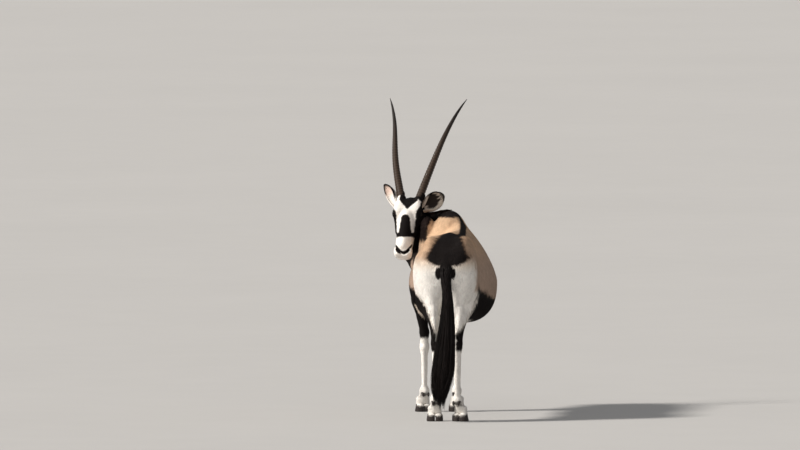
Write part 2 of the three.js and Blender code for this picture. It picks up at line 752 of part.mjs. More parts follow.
function makeHead(seats) {
  let made = before(roughHead(0), { n: times(HEAD_CUT.n, -1), d: -HEAD_CUT.d });
  for (const side of [-1, 1]) {
    const lids = ball(EYE_RADIUS + LID_THICKNESS, eyePlace(side));
    made = made.add(lids).subtract(almond(side));
    made = made.subtract(ball(EYE_RADIUS + GAP, eyePlace(side)));
    const mouth = [
      [334, 150],
      [326, 130],
      [312, 118],
      [296, 112],
      [280, 110],
      [262, 110],
    ].map(([f, degrees]) => onHead(Math.min(f, 330), degrees, side, 0.5));
    made = made.subtract(rod(mouth, [1.6, 2.4, 2.4, 2.2, 2, 1]));
    const nostril = [
      [318, 40],
      [311, 50],
      [304, 58],
      [297, 62],
    ].map(([f, degrees]) => onHead(f, degrees, side, 1));
    made = made.subtract(rod(nostril, [2.4, 5, 4.6, 2]));
  }
  for (const seat of seats) made = made.subtract(seat);
  return biggest(made);
}

// Horns: rings along a line that bends back and out, with ridges on the lower part
function makeHorn(side, grow = 0) {
  const ROWS = 44;
  const SIDES = 8;
  // share of the length, lean back, then how far the left horn and the right horn stand out
  const lean = through([
    [0, 11, 7.6, 19.5],
    [0.25, 12.5, 8, 18],
    [0.46, 14, 8.5, 12.5],
    [0.62, 15, 10.5, 11],
    [0.8, 17, 14.1, 16.5],
    [1, 19, 21.1, 25],
  ]);
  const radius = through([
    [0, HORN_BASE_RADIUS],
    [0.2, 22.5],
    [0.5, 17.5],
    [0.75, 12],
    [0.93, 6],
    [1, 1.6],
  ]);
  const length = HORN_LENGTH * (1 + side * 0.015);
  let at = fromHead([side * 45, 6, -34]);
  const rings = [];
  for (let i = 0; i <= ROWS; i++) {
    const t = i / ROWS;
    const [back, outLeft, outRight] = lean(t).map(radians);
    const out = side > 0 ? outLeft : outRight;
    const way = unit(headWay([side * Math.tan(out), -Math.cos(back), -Math.sin(back)]));
    const a = unit(cross(way, U));
    const b = cross(way, a);
    const fade = clamp((0.68 - t) * 8, 0, 1);
    const ridge = i > 1 && i % 2 === 0 ? 1.5 * fade : -0.6 * fade;
    const r = radius(t)[0] + ridge + grow;
    rings.push(
      Array.from({ length: SIDES }, (_, j) => {
        const turn = (2 * Math.PI * j) / SIDES;
        return add(at, add(times(a, r * 0.94 * Math.cos(turn)), times(b, r * Math.sin(turn))));
      }),
    );
    at = add(at, times(way, length / ROWS));
  }
  return solid(loft(rings));
}

// Ears: a curled leaf whose sections are crescents
function makeEar(base, axis, open, broad) {
  const way = unit(axis);
  const across = unit(cross(way, open));
  const front = cross(across, way);
  const leaf = through([
    [0, 24, 22, 165],
    [0.15, 30, 25, 150],
    [0.35, 42, 29, 124],
    [0.55, 47, 28, 106],
    [0.75, 42, 22, 94],
    [0.9, 27, 13, 86],
    [0.97, 14, 7, 82],
    [1, 6, 4, 80],
  ]);
  const rings = steps(10, (t) => {
    const [narrow, deep, span] = leaf(t);
    const wide = narrow * (1 + (broad - 1) * Math.min(t * 3, 1));
    const bend = 10 * t * t;
    const middle = add(base, add(times(way, EAR_LENGTH * t), times(front, bend)));
    const arc = (inset) =>
      steps(7, (v) => {
        const turn = radians(span) * (2 * v - 1);
        const [w, d] = [wide - inset, deep - inset];
        return add(middle, add(times(across, w * Math.sin(turn)), times(front, -d * Math.cos(turn))));
      });
    const thick = Math.min(EAR_THICKNESS, wide * 0.45);
    return [...arc(0), ...arc(thick).reverse()];
  });
  return solid(loft(rings, true));
}

// Tail
const TAIL = [
  [900, 4, -566, 38, 34],
  [868, 5, -604, 34, 30],
  [800, 8, -626, 31, 27],
  [690, 18, -640, 36, 28],
  [560, 15, -652, 48, 32],
  [440, 6, -658, 62, 38],
  [340, -2, -658, 69, 42],
  [250, -11, -654, 72, 42],
  [170, -22, -648, 58, 36],
  [105, -26, -644, 32, 24],
  [TAIL_TIP_HEIGHT, -28, -642, 9, 8],
].map((row, i) => [i, ...row]);
const tailAt = through(TAIL);
const TAIL_CORE = 0.42; // share of the rows that the core runs down
const TIERS = [
  // rows of the tail at the root and at the tip, and how far out the lock runs
  [2.5, 5.6, 0.98],
  [3.3, 7.2, 1],
  [4.1, 8.5, 0.97],
  [4.9, 9.8, 0.8],
];
const TAIL_LOCKS = 6; // in each tier
const onTail = (place, turn, out) => {
  const [z, x, y, wide, deep] = tailAt(place);
  return [x + wide * out * Math.cos(turn), y + deep * out * Math.sin(turn), z];
};
function makeTail(torso) {
  const last = (TAIL.length - 1) * TAIL_CORE;
  const rings = steps(10, (t) => {
    const [z, x, y, wide, deep] = tailAt(t * (last + 1.4));
    const thin = 1 - 0.9 * clamp((t * (last + 1.4) - last + 1.2) / 2.6, 0, 1) ** 1.5;
    return Array.from({ length: 10 }, (_, j) => {
      const turn = (2 * Math.PI * j) / 10;
      return [x + wide * thin * 0.94 * Math.cos(turn), y + deep * thin * 0.94 * Math.sin(turn), z];
    });
  });
  const locks = TIERS.flatMap(([root, tip, out], tier) =>
    Array.from({ length: TAIL_LOCKS }, (_, i) => {
      const turn = (2 * Math.PI * (i + 0.5 * (tier % 2) + 0.13 * tier)) / TAIL_LOCKS;
      const end = tip - 0.5 * ((i * 3 + tier) % 4) * 0.34;
      const swing = 0.16 * Math.sin(i * 2.1 + tier);
      return lock(
        [
          [0, 0.5, 34, 20],
          [0.3, 0.9, 52, 22],
          [0.7, 1, 42, 17],
          [1, 0.92, 4, 3],
        ].map(([t, near, wide, thick]) => {
          const at = onTail(root + (end - root) * t, turn + swing * t * t, near * out * 0.86);
          const across = [-Math.sin(turn), Math.cos(turn), 0];
          return { at, across, wide: wide * (tier === 3 ? 0.85 : 1), thick };
        }),
      );
    }),
  );
  return biggest(clearOf(fused(solid(loft(rings)), locks), torso, [0, -1, 0]));
}

// Legs: rings that start on the slant of the top cut and turn level further down
const LEG_SPLIT = { hind: 398, fore: 322 };
const LEG_CELL = [19, 19, 25];
const legFieldOf = (leg) => {
  const own = fieldOf(legForms(leg));
  return (x, y, z) => {
    const past = Math.max(...cutsOf(leg).map((cut) => -cut.side([x, y, z]) - MARGIN));
    return Math.max(z > 470 ? body(x, y, z) : own(x, y, z), past);
  };
};
function legPath(leg) {
  const { hind, joints } = LEGS[leg];
  const side = leg.endsWith("right") ? 1 : -1;
  const [slant] = cutsOf(leg);
  const mixDown = (k) => unit(mix([0, 0, -1], slant.n, k));
  if (hind) {
    const { hip, stifle, hock, fetlock, coronet } = joints;
    return [
      { at: [hip[0] + side * 22, -400, 715], n: mixDown(1) },
      { at: [hip[0] + side * 20, -404, 672], n: mixDown(0.8) },
      { at: [hip[0] + side * 10, -424, 624], n: mixDown(0.45) },
      { at: [hip[0] - side * 4, -466, 572], n: mixDown(0.1) },
      { at: [hock[0] + side * 12, hock[1] + 40, 520], n: mixDown(0) },
      { at: [hock[0] + side * 2, hock[1] + 6, 462], n: mixDown(0) },
      { at: [hock[0], hock[1] - 5, LEG_SPLIT.hind + 7], n: mixDown(0) },
      { at: [hock[0], hock[1] - 6, LEG_SPLIT.hind - 7], n: mixDown(0) },
      { at: add(mix(hock, fetlock, 0.55), [0, -8, 0]), n: mixDown(0) },
      { at: add(fetlock, [0, -8, 36]), n: mixDown(0) },
      { at: add(fetlock, [0, -2, 0]), n: mixDown(0) },
      { at: add(mix(fetlock, coronet, 0.5), [0, 0, 0]), n: mixDown(0) },
      { at: [coronet[0], coronet[1] + 2, 32], n: mixDown(0) },
    ];
  }
  const { elbow, knee, fetlock, coronet } = joints;
  return [
    { at: add(elbow, [side * -30, 22, 60]), n: mixDown(1) },
    { at: add(elbow, [side * -26, 20, 22]), n: mixDown(0.8) },
    { at: add(elbow, [side * -18, 14, -20]), n: mixDown(0.45) },
    { at: add(elbow, [side * -10, 8, -66]), n: mixDown(0.1) },
    { at: mix(elbow, knee, 0.5), n: mixDown(0) },
    { at: add(knee, [0, -4, 70]), n: mixDown(0) },
    { at: [knee[0], knee[1] - 4, LEG_SPLIT.fore + 7], n: mixDown(0) },
    { at: [knee[0], knee[1] - 5, LEG_SPLIT.fore - 7], n: mixDown(0) },
    { at: add(mix(knee, fetlock, 0.6), [0, -6, 0]), n: mixDown(0) },
    { at: add(fetlock, [0, -6, 34]), n: mixDown(0) },
    { at: fetlock, n: mixDown(0) },
    { at: mix(fetlock, coronet, 0.5), n: mixDown(0) },
    { at: [coronet[0], coronet[1] + 2, 32], n: mixDown(0) },
  ];
}
const legRings = (leg, first, last) =>
  stationsAlong(legPath(leg), first, last, 30, (n) => cross([0, 1, 0], n));
const coronetPlane = (leg) => {
  const { joints, heading } = LEGS[leg];
  const turn = radians(heading);
  return plane(add(joints.coronet, [0, 0, -2]), [-Math.sin(turn) * 0.3, -Math.cos(turn) * 0.3, 1]);
};
function makeLeg(leg, which) {
  const field = legFieldOf(leg);
  const { hind } = LEGS[leg];
  const sides = 14;
  const height = hind ? LEG_SPLIT.hind : LEG_SPLIT.fore;
  const split = plane([0, 0, height], [0, 0, -1]);
  if (which === "upper") {
    const { at } = legPath(leg)[6];
    const [lows, highs] = hind
      ? [[at[0] - 190, at[1] - 90, height - 26], [at[0] + 190, at[1] + 380, height + 560]]
      : [[at[0] - 150, at[1] - 170, height - 26], [at[0] + 150, at[1] + 260, height + 560]];
    let made = solid(net(field, lows, highs, LEG_CELL));
    for (const cut of cutsOf(leg)) made = after(made, cut);
    return biggest(before(made, split));
  }
  const made = solid(tube(field, legRings(leg, 6, 12), sides));
  const coronet = coronetPlane(leg);
  return biggest(after(after(made, split), coronet));
}

// A claw: its outline on the ground has a point in front and a round heel
function makeClaw(leg, toe) {
  const { joints, heading } = LEGS[leg];
  const { coronet } = joints;
  const spread = radians(heading + toe * 7);
  const ahead = [Math.sin(spread), Math.cos(spread), 0];
  const turn = radians(heading);
  const across = [Math.cos(turn), -Math.sin(turn), 0];
  const out = [ahead[1], -ahead[0], 0];
  const straight = [Math.sin(turn), Math.cos(turn), 0];
  const HEEL = -42;
  const heelAt = add(times(across, toe * 1.2), times(straight, HEEL));
  const inner = add([coronet[0], coronet[1], 0], heelAt);
  // share of the length from the heel, then how far the outer and inner walls stand off
  const outline = [
    [0, 0.4, 0.06],
    [0.09, 0.84, 0],
    [0.34, 1, 0],
    [0.62, 0.82, 0],
    [0.86, 0.44, 0.05],
    [1, 0.2, 0.14],
  ];
  const ring = (z, long, wide, heel) => {
    const place = ([t, w]) =>
      add(inner, add(add(times(ahead, heel - HEEL + long * t), times(out, toe * wide * w)), [0, 0, z]));
    const outer = outline.map(([t, w]) => place([t, w]));
    const inside = outline.map(([t, , w]) => place([t, w])).reverse();
    return [...outer, ...inside];
  };
  const rings = [
    ring(0, CLAW_LENGTH, CLAW_WIDTH, -41),
    ring(6, CLAW_LENGTH, CLAW_WIDTH * 1.02, -42),
    ring(22, CLAW_LENGTH * 0.86, CLAW_WIDTH, -41),
    ring(40, CLAW_LENGTH * 0.7, CLAW_WIDTH * 0.96, -38),
    ring(56, CLAW_LENGTH * 0.58, CLAW_WIDTH * 0.92, -35),
    ring(72, CLAW_LENGTH * 0.5, CLAW_WIDTH * 0.88, -33),
  ];
  return before(solid(loft(rings)), coronetPlane(leg));
}

function makeDewclaw(leg, toe, lower) {
  const { joints, heading } = LEGS[leg];
  const turn = radians(heading);
  const ahead = [Math.sin(turn), Math.cos(turn), 0];
  const across = [Math.cos(turn), -Math.sin(turn), 0];
  const at = add(joints.fetlock, add(times(across, toe * 15), [0, 0, -18]));
  const back = (k, z) => add(at, add(times(ahead, -k), [0, 0, z]));
  return biggest(rod([back(14, 6), back(34, -2), back(42, -12), back(45, -22)], [10, 10.5, 8, 3], 6).subtract(lower));
}

const parts = [];
const part = (name, made, colour, roughness = 0.8) => {
  const { numProp, vertProperties, triVerts } = made.getMesh();
  const positions = [];
  for (let i = 0; i < vertProperties.length; i += numProp) {
    positions.push(vertProperties[i], vertProperties[i + 1], vertProperties[i + 2]);
  }
  const geometry = new THREE.BufferGeometry();
  geometry.setAttribute("position", new THREE.Float32BufferAttribute(positions, 3));
  geometry.setIndex(Array.from(triVerts));
  geometry.computeVertexNormals();
  const material = new THREE.MeshStandardMaterial({ color: colour, roughness, metalness: 0 });
  const node = new THREE.Mesh(geometry, material);
  node.name = name;
  parts.push(node);
};

const headSeat = roughHead(GAP * 2);
const head = makeHead([]);
const torso = makeTorso();
const EARS = {
  ear_left: [1, [62, 20, -82], [0.66, 0.42, 0.42], [0.05, -0.95, -0.25], 1.2],
  ear_right: [-1, [-68, 26, -78], [-0.48, 0.46, 0.73], [-0.75, -0.66, 0], 0.9],
};
part("torso", torso, COLOURS.fawn);
const neckLower = makeNeck(bodyWithoutHead, NECK_CUT, MID_NECK_CUT, [-440, 400, 580], [100, 870, 1240]);
const neckUpper = makeNeck(body, MID_NECK_CUT, HEAD_CUT, [-447, 462, 712], [0, 890, 1280]);
part("neck_lower", neckLower, COLOURS.fawn);
part("neck_upper", neckUpper, COLOURS.fawn);
part("head", head, COLOURS.white);
for (const [name, [side, base, axis, open, wide]] of Object.entries(EARS)) {
  const leaf = makeEar(fromHead(base), axis, open, wide).subtract(makeHorn(side, GAP));
  const made = clearOf(leaf, head, unit(axis)).subtract(headSeat);
  part(name, biggest(made), COLOURS.ear);
}
for (const [end, side] of [["left", 1], ["right", -1]]) {
  part(`eye_${end}`, ball(EYE_RADIUS, eyePlace(side)), COLOURS.eye, 0.15);
  part(`horn_${end}`, biggest(clearOf(makeHorn(side), head, unit(headWay([side * 0.2, -1, 0.1]))).subtract(headSeat)), COLOURS.horn, 0.5);
}
part("tail", makeTail(torso), COLOURS.black);
for (const leg of legNames) {
  part(`${leg}_upper`, makeLeg(leg, "upper"), COLOURS.fawn);
  const lower = makeLeg(leg, "lower");
  part(`${leg}_lower`, lower, COLOURS.white);
  const seat = solid(tube(legFieldOf(leg), legRings(leg, 6, 12), 14, GAP * 1.5));
  for (const [end, toe] of [["left", -1], ["right", 1]]) {
    part(`${leg}_claw_${end}`, makeClaw(leg, toe), COLOURS.hoof, 0.5);
    part(`${leg}_dewclaw_${end}`, makeDewclaw(leg, toe, seat), COLOURS.hoof, 0.5);
  }
}

// The origin is at the middle of the outline on the floor
const group = new THREE.Group();
group.add(...parts);
const box = new THREE.Box3().setFromObject(group);
const middle = box.getCenter(new THREE.Vector3());
group.position.set(-middle.x, -middle.y, -box.min.z);
export default group;
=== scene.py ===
"""Looks of a life-size gemsbok: one skin with its coat, mane and tail hair, horns, eyes and hooves.

The skin is the same field of bones and muscles as the solids, meshed finer and with lids, lips and folds.
Field sums are in millimetres, in the solids' own axes before they were centred, and OFFSET brings them here.
"""
import math

import bpy
import numpy as np
from mathutils import Matrix, Vector


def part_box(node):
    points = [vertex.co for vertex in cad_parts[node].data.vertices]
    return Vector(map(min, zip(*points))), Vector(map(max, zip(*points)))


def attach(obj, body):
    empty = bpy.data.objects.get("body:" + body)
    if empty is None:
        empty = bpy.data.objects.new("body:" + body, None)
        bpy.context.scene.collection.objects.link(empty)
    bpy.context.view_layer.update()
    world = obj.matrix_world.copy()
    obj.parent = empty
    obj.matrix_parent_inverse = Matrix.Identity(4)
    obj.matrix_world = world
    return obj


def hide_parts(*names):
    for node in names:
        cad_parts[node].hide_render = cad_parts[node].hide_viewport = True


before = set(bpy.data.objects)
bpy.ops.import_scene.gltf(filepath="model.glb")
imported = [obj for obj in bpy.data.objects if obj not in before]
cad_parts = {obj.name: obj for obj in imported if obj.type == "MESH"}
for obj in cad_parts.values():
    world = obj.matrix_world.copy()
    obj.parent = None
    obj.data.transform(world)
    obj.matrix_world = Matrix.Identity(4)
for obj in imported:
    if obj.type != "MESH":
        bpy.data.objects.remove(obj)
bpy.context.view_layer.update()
random = np.random.default_rng(7)

# Driving dimensions in millimetres
EYE_RADIUS = 19.0
LID_THICKNESS = 4.5
SKIN_DEPTH = 3.5  # how far the skin lies inside the solids, for the coat
FACE_DEPTH = 1.6  # the same on the head, where the coat is short
HORN_LENGTH = 770.0
HORN_BASE_RADIUS = 25.0
EAR_LENGTH = 178.0
CLAW_LENGTH = 98.0
CLAW_WIDTH = 41.0
CAMERA_AZIMUTH = math.radians(5.0)
CAMERA_ELEVATION = math.radians(2.5)
PIXELS_PER_METRE = 175.0
GROUND_PIXEL = 419.5  # the row of the photograph where the ground is at GROUND_PLACE
GROUND_PLACE = -450.0
CENTRE_PIXEL = 453.7  # the column of the field's origin


# Small sums on points


def vec(*values):
    return np.array(values, float)


def unit(a):
    a = np.asarray(a, float)
    return a / np.maximum(np.linalg.norm(a, axis=-1, keepdims=True), 1e-9)


def mix(a, b, t):
    return a + (b - a) * t


def clamp(value, low, high):
    return np.minimum(np.maximum(value, low), high)


def ramp(value, start, end):
    """0 at start and 1 at end, with a smooth change between."""
    t = clamp((value - start) / (end - start), 0.0, 1.0)
    return t * t * (3 - 2 * t)


def through(rows):
    """A smooth curve through rows: the first number of a row is the place, the others are values there."""
    rows = np.asarray(rows, float)
    places = rows[:, 0]
    values = rows[:, 1:]
    before = np.maximum(np.arange(len(rows)) - 1, 0)
    after = np.minimum(np.arange(len(rows)) + 1, len(rows) - 1)
    slopes = (values[after] - values[before]) / (places[after] - places[before])[:, None]

    def curve(place):
        place = clamp(np.asarray(place, float), places[0], places[-1])
        i = clamp(np.searchsorted(places, place, side="left") - 1, 0, len(rows) - 2).astype(int)
        step = places[i + 1] - places[i]
        t = ((place - places[i]) / step)[..., None]
        step = step[..., None]
        t2 = t * t
        t3 = t2 * t
        return (
            (2 * t3 - 3 * t2 + 1) * values[i]
            + (t3 - 2 * t2 + t) * step * slopes[i]
            + (3 * t2 - 2 * t3) * values[i + 1]
            + (t3 - t2) * step * slopes[i + 1]
        )

    return curve


# The field: each form gives a distance at points p that is negative inside it


def join(a, b, k):
    h = np.maximum(k - np.abs(a - b), 0.0) / k
    return np.minimum(a, b) - h * h * k / 4


def bone(a, b, ra, rb, flat=1.0):
    """A tapered rod with round ends. Its radius across X is multiplied by flat."""
    a = np.asarray(a, float)
    along = np.asarray(b, float) - a
    length2 = along @ along

    def form(p):
        q = p - a
        t = clamp(q @ along / length2, 0.0, 1.0)
        q = q - t[:, None] * along
        q[:, 0] /= flat
        return np.sqrt(np.einsum("ij,ij->i", q, q)) - (ra + (rb - ra) * t)

    return form


def mass(centre, radii, lean=0.0, turn=0.0):
    """An ellipsoid, leaned about X and then turned about Z, in degrees."""
    cl, sl = math.cos(math.radians(lean)), math.sin(math.radians(lean))
    ct, st = math.cos(math.radians(turn)), math.sin(math.radians(turn))
    to_own = vec([1, 0, 0], [0, cl, sl], [0, -sl, cl]) @ vec([ct, st, 0], [-st, ct, 0], [0, 0, 1])
    radii = np.asarray(radii, float)

    def form(p):
        q = (p - np.asarray(centre, float)) @ to_own.T
        near = np.linalg.norm(q / radii, axis=1)
        slope = np.maximum(np.linalg.norm(q / radii**2, axis=1), 1e-9)
        return near * (near - 1) / slope

    return form


def oval(at, first, last, widest, floor):
    """A body of oval sections along Y: at(y) gives middle, low, high, half width and how full the roof is."""

    def form(p):
        place = p[:, 1]
        middle, low, high, half, roof = at(clamp(place, first, last)).T
        level = low + (high - low) * widest
        s = np.abs(p[:, 0] - middle)
        h = p[:, 2] - level
        power = np.where(h > 0, roof, floor)
        reach = np.where(h > 0, high - level, level - low)
        q = ((s / half) ** power + (np.abs(h) / reach) ** power) ** (1 / power)
        r = np.hypot(s, h)
        d = np.where(q < 1e-6, -np.minimum(half, reach), r * (1 - 1 / np.maximum(q, 1e-6)))
        past = np.maximum(np.maximum(first - place, place - last), 0.0)
        return np.where(past > 0, np.hypot(np.maximum(d, 0), past), d)

    return form


def field_of(forms):
    def field(p):
        d = np.full(len(p), 1e3)
        for form, k in forms:
            d = join(d, form(p), k)
        return d

    return field


# Trunk: place along Y, then middle across, low, high, half width and how full the roof is
TRUNK = [
    [-598, -6, 812, 890, 34, 2],
    [-570, -8, 740, 944, 88, 1.9],
    [-500, -12, 672, 1006, 140, 1.8],
    [-400, -12, 632, 1046, 168, 1.7],
    [-280, -4, 588, 1062, 184, 1.6],
    [-150, 12, 556, 1064, 200, 1.48],
    [0, 30, 532, 1068, 213, 1.4],
    [120, 26, 540, 1086, 212, 1.4],
    [240, -4, 566, 1112, 198, 1.45],
    [340, -44, 596, 1140, 176, 1.55],
    [430, -84, 628, 1124, 156, 1.6],
    [510, -122, 676, 1050, 130, 1.8],
    [570, -150, 730, 980, 94, 2],
    [606, -160, 800, 910, 34, 2],
]
trunk_at = through(TRUNK)


def spine_x(y):
    return trunk_at(y)[..., 0]


# Legs. Each list runs down the leg, and the hoof's heading is in degrees from +Y towards +X.
LEGS = {
    "hindleg_left": {
        "hind": True,
        "hip": [-100, -400, 900],
        "stifle": [-142, -318, 676],
        "hock": [-58, -552, 440],
        "fetlock": [-62, -528, 128],
        "coronet": [-67, -494, 52],
        "heading": -10,
    },
    "hindleg_right": {
        "hind": True,
        "hip": [84, -400, 900],
        "stifle": [120, -318, 676],
        "hock": [70, -552, 440],
        "fetlock": [66, -528, 128],
        "coronet": [82, -492, 52],
        "heading": 12,
    },
    "foreleg_left": {
        "hind": False,
        "shoulder": [-214, 500, 815],
        "elbow": [-226, 366, 640],
        "knee": [-203, 408, 368],
        "fetlock": [-203, 416, 124],
        "coronet": [-216, 448, 52],
        "heading": -20,
    },
    "foreleg_right": {
        "hind": False,
        "shoulder": [2, 505, 815],
        "elbow": [4, 366, 640],
        "knee": [-12, 420, 368],
        "fetlock": [-18, 428, 124],
        "coronet": [-20, 460, 52],
        "heading": 2,
    },
}


def hind_forms(leg, side):
    def out(p, dx, dy, dz):
        return np.add(leg[p], [side * dx, dy, dz])

    return [
        [mass(out("hip", 6, -20, -40), [82, 150, 190], 8), 60],
        [bone(out("hip", -12, -108, -10), out("hip", -26, -118, -270), 80, 46, 0.86), 50],
        [bone(out("hip", 8, 40, -60), out("stifle", -10, 0, 10), 96, 58, 0.72), 60],
        [bone(out("stifle", -8, -16, -10), out("hock", 8, 46, 124), 66, 40, 0.72), 40],
        [bone(out("hock", 8, 46, 124), out("hock", 0, 8, 10), 40, 29, 0.8), 24],
        [bone(out("hock", 12, 12, 190), out("hock", 2, -34, 54), 26, 15, 0.8), 26],
        [mass(out("hock", 0, -34, 46), [15, 17, 26]), 14],
        [mass(out("hock", 0, 4, 2), [27, 36, 44]), 16],
        [bone(out("hock", 0, -2, -26), out("fetlock", 0, -2, 30), 24, 20, 0.86), 18],
        [bone(out("hock", 0, -26, -20), out("fetlock", 0, -20, 34), 13, 11), 14],
    ] + foot_forms(leg)


def fore_forms(leg, side):
    def out(p, dx, dy, dz):
        return np.add(leg[p], [side * dx, dy, dz])

    return [
        [bone(out("elbow", -44, -10, 420), out("shoulder", -12, -16, 30), 66, 70, 0.56), 60],
        [bone(leg["shoulder"], out("elbow", -4, 14, 0), 68, 52, 0.74), 50],
        [mass(out("elbow", 2, -32, 104), [58, 94, 124], -14), 50],
        [bone(out("elbow", 0, 0, 4), out("knee", 0, -2, 90), 52, 31, 0.78), 36],
        [bone(out("knee", 0, -2, 90), out("knee", 0, 0, 10), 31, 27, 0.88), 20],
        [mass(out("knee", 0, 6, 4), [29, 29, 42]), 14],
        [mass(out("knee", 0, -20, -2), [18, 18, 24]), 14],
        [bone(out("knee", 0, 2, -30), out("fetlock", 0, 0, 28), 23, 19, 0.9), 18],
        [bone(out("knee", 0, -20, -30), out("fetlock", 0, -17, 30), 12, 10), 14],
    ] + foot_forms(leg)


def foot_forms(leg):
    fetlock = np.asarray(leg["fetlock"], float)
    coronet = np.asarray(leg["coronet"], float)
    heelward = unit((fetlock - coronet) * [1, 1, 0])
    across = vec(-heelward[1], heelward[0], 0)
    forms = [
        [mass(fetlock, [27, 28, 30]), 14],
        [mass(fetlock + heelward * 15 + [0, 0, -14], [22, 16, 18]), 12],
        [bone(fetlock, coronet + [0, 0, 14], 24, 28), 16],
    ]
    for toe in (-1, 1):
        middle = coronet + across * toe * CLAW_WIDTH * 0.5
        forms.append([bone(middle + [0, 0, 22], middle + [0, 6, -12], 19, 21), 8])
        bulb = middle + heelward * 16 + [0, 0, -coronet[2] + 33]
        forms.append([mass(bulb, [21.5, 26, 15], 0, -leg["heading"]), 5])
    return forms


# Neck: the spine of the neck, its crest above and its throat below, each with radii
NECK_SPINE = [
    [-60, 360, 968, 122],
    [-86, 490, 955, 104],
    [-116, 606, 964, 90],
    [-162, 700, 982, 82],
    [-224, 744, 1008, 76],
    [-278, 712, 1044, 72],
    [-292, 646, 1086, 66],
    [-286, 590, 1116, 61],
]
NECK_CREST = [
    [-50, 352, 1073, 62],
    [-66, 490, 1087, 60],
    [-92, 606, 1091, 56],
    [-138, 706, 1084, 52],
    [-206, 764, 1075, 48],
    [-272, 732, 1097, 45],
    [-290, 656, 1142, 42],
    [-284, 586, 1168, 40],
]
NECK_THROAT = [
    [-150, 486, 778, 104],
    [-192, 600, 816, 92],
    [-238, 694, 862, 82],
    [-274, 734, 900, 74],
    [-300, 706, 944, 68],
    [-304, 650, 990, 62],
    [-296, 590, 1036, 56],
]


def chain(points, blend):
    return field_of([[bone(a[:3], b[:3], a[3], b[3]), blend] for a, b in zip(points, points[1:])])


# Head frame: F runs down the face to the muzzle, U out of the forehead, S to the animal's left.
# Its origin is on the forehead, midway between the horns.
HEAD_AT = vec(-297, 455, 1217)
FACE_FROM_VERTICAL = math.radians(24)
GAZE = math.radians(187.2)  # from +Y towards -X
ROLL = math.radians(4.4)  # its right side is the higher one
gaze = vec(math.sin(GAZE), math.cos(GAZE), 0)
level = vec(-gaze[1], gaze[0], 0)
S = level * math.cos(ROLL) + vec(0, 0, -math.sin(ROLL))
down = level * -math.sin(ROLL) + vec(0, 0, -math.cos(ROLL))
F = gaze * math.sin(FACE_FROM_VERTICAL) + down * math.cos(FACE_FROM_VERTICAL)
U = np.cross(F, S)
HEAD_AXES = np.array([S, F, U])


def to_head(p):
    return (np.asarray(p, float) - HEAD_AT) @ HEAD_AXES.T


def from_head(q):
    return HEAD_AT + np.asarray(q, float) @ HEAD_AXES


def head_way(q):
    return np.asarray(q, float) @ HEAD_AXES


# Skull: place down the face, then middle across, low, high, half width and roof
SKULL = [
    [-56, 0, -128, -110, 24, 2.3],
    [-44, 0, -140, -92, 44, 2.3],
    [-26, 0, -156, -56, 60, 2.3],
    [-8, 0, -170, -14, 67, 2.3],
    [14, 0, -180, 1, 70, 2.3],
    [60, 0, -184, 4, 72, 2.3],
    [105, 0, -172, -2, 66, 2.3],
    [160, 0, -148, -12, 57, 2.3],
    [215, 0, -131, -24, 50, 2.3],
    [262, 0, -124, -36, 48, 2.3],
    [296, 0, -120, -50, 49, 2.3],
    [320, 0, -112, -66, 42, 2.3],
    [334, 0, -100, -82, 22, 2.3],
]
EYE_AT = vec(67, 74, -36)


def skull_masses(s):
    return [
        [mass([s * 60, EYE_AT[1], EYE_AT[2]], [27, 38, 30]), 16],
        [mass([s * 48, 40, -10], [30, 40, 18]), 16],
        [bone([s * 66, 88, -56], [s * 48, 176, -66], 17, 12), 20],
        [mass([s * 48, 42, -118], [32, 62, 56]), 24],
        [bone([s * 38, 60, -166], [s * 24, 262, -112], 20, 14), 20],
        [bone([s * 45, 12, -34], [s * 48, -10, -30], 30, 27), 14],
        [mass([s * 60, -46, -46], [22, 26, 24]), 18],
        [mass([s * 25, 296, -76], [26, 30, 24]), 14],
        [mass([s * 22, 306, -96], [27, 24, 15]), 10],
    ]


head_local = field_of(
    [
        [oval(through(SKULL), SKULL[0][0], SKULL[-1][0], 0.58, 2.0), 1],
        *skull_masses(1),
        *skull_masses(-1),
        [bone([0, 90, -20], [0, 262, -50], 24, 20), 22],
        [mass([0, 292, -115], [27, 32, 13]), 8],
    ]
)


def rump_masses(side):
    return [
        [mass([spine_x(-290.0) + side * 92, -276, 972], [62, 84, 66]), 60],
        [mass([spine_x(-560.0) + side * 60, -546, 880], [48, 44, 60]), 40],
    ]


def leg_forms(name):
    leg = LEGS[name]
    side = 1 if name.endswith("right") else -1
    return hind_forms(leg, side) if leg["hind"] else fore_forms(leg, side)


body_without_head = field_of(
    [
        [oval(trunk_at, TRUNK[0][0], TRUNK[-1][0], 0.43, 2.5), 1],
        [mass([-4, -552, 874], [72, 60, 84]), 50],
        [mass([-44, 320, 1074], [58, 150, 66], -6), 60],
        [mass([-164, 528, 762], [92, 84, 110], 20), 60],
        *rump_masses(1),
        *rump_masses(-1),
        *[form for name in LEGS for form in leg_forms(name)],
        [chain(NECK_SPINE, 16), 50],
        [chain(NECK_CREST, 16), 44],
        [chain(NECK_THROAT, 16), 44],
    ]
)
POLL = from_head([0, 0, -128])


def body(p):
    """The head grows out of the neck at the poll, and lies clear of it further down."""
    away = np.linalg.norm(p - POLL, axis=1)
    blend = 3 + 31 * clamp(2 - away / 75, 0, 1)
    return join(body_without_head(p), head_local(to_head(p)), blend)


# The solids' field starts at its own origin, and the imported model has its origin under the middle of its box
low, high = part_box("eye_left")
OFFSET = (np.array(low) + np.array(high)) / 2 * 1000 - from_head(EYE_AT)


def to_metres(p):
    return (np.asarray(p, float) + OFFSET) / 1000


# Head features


def eye_place(side):
    return from_head(EYE_AT * [side, 1, 1])


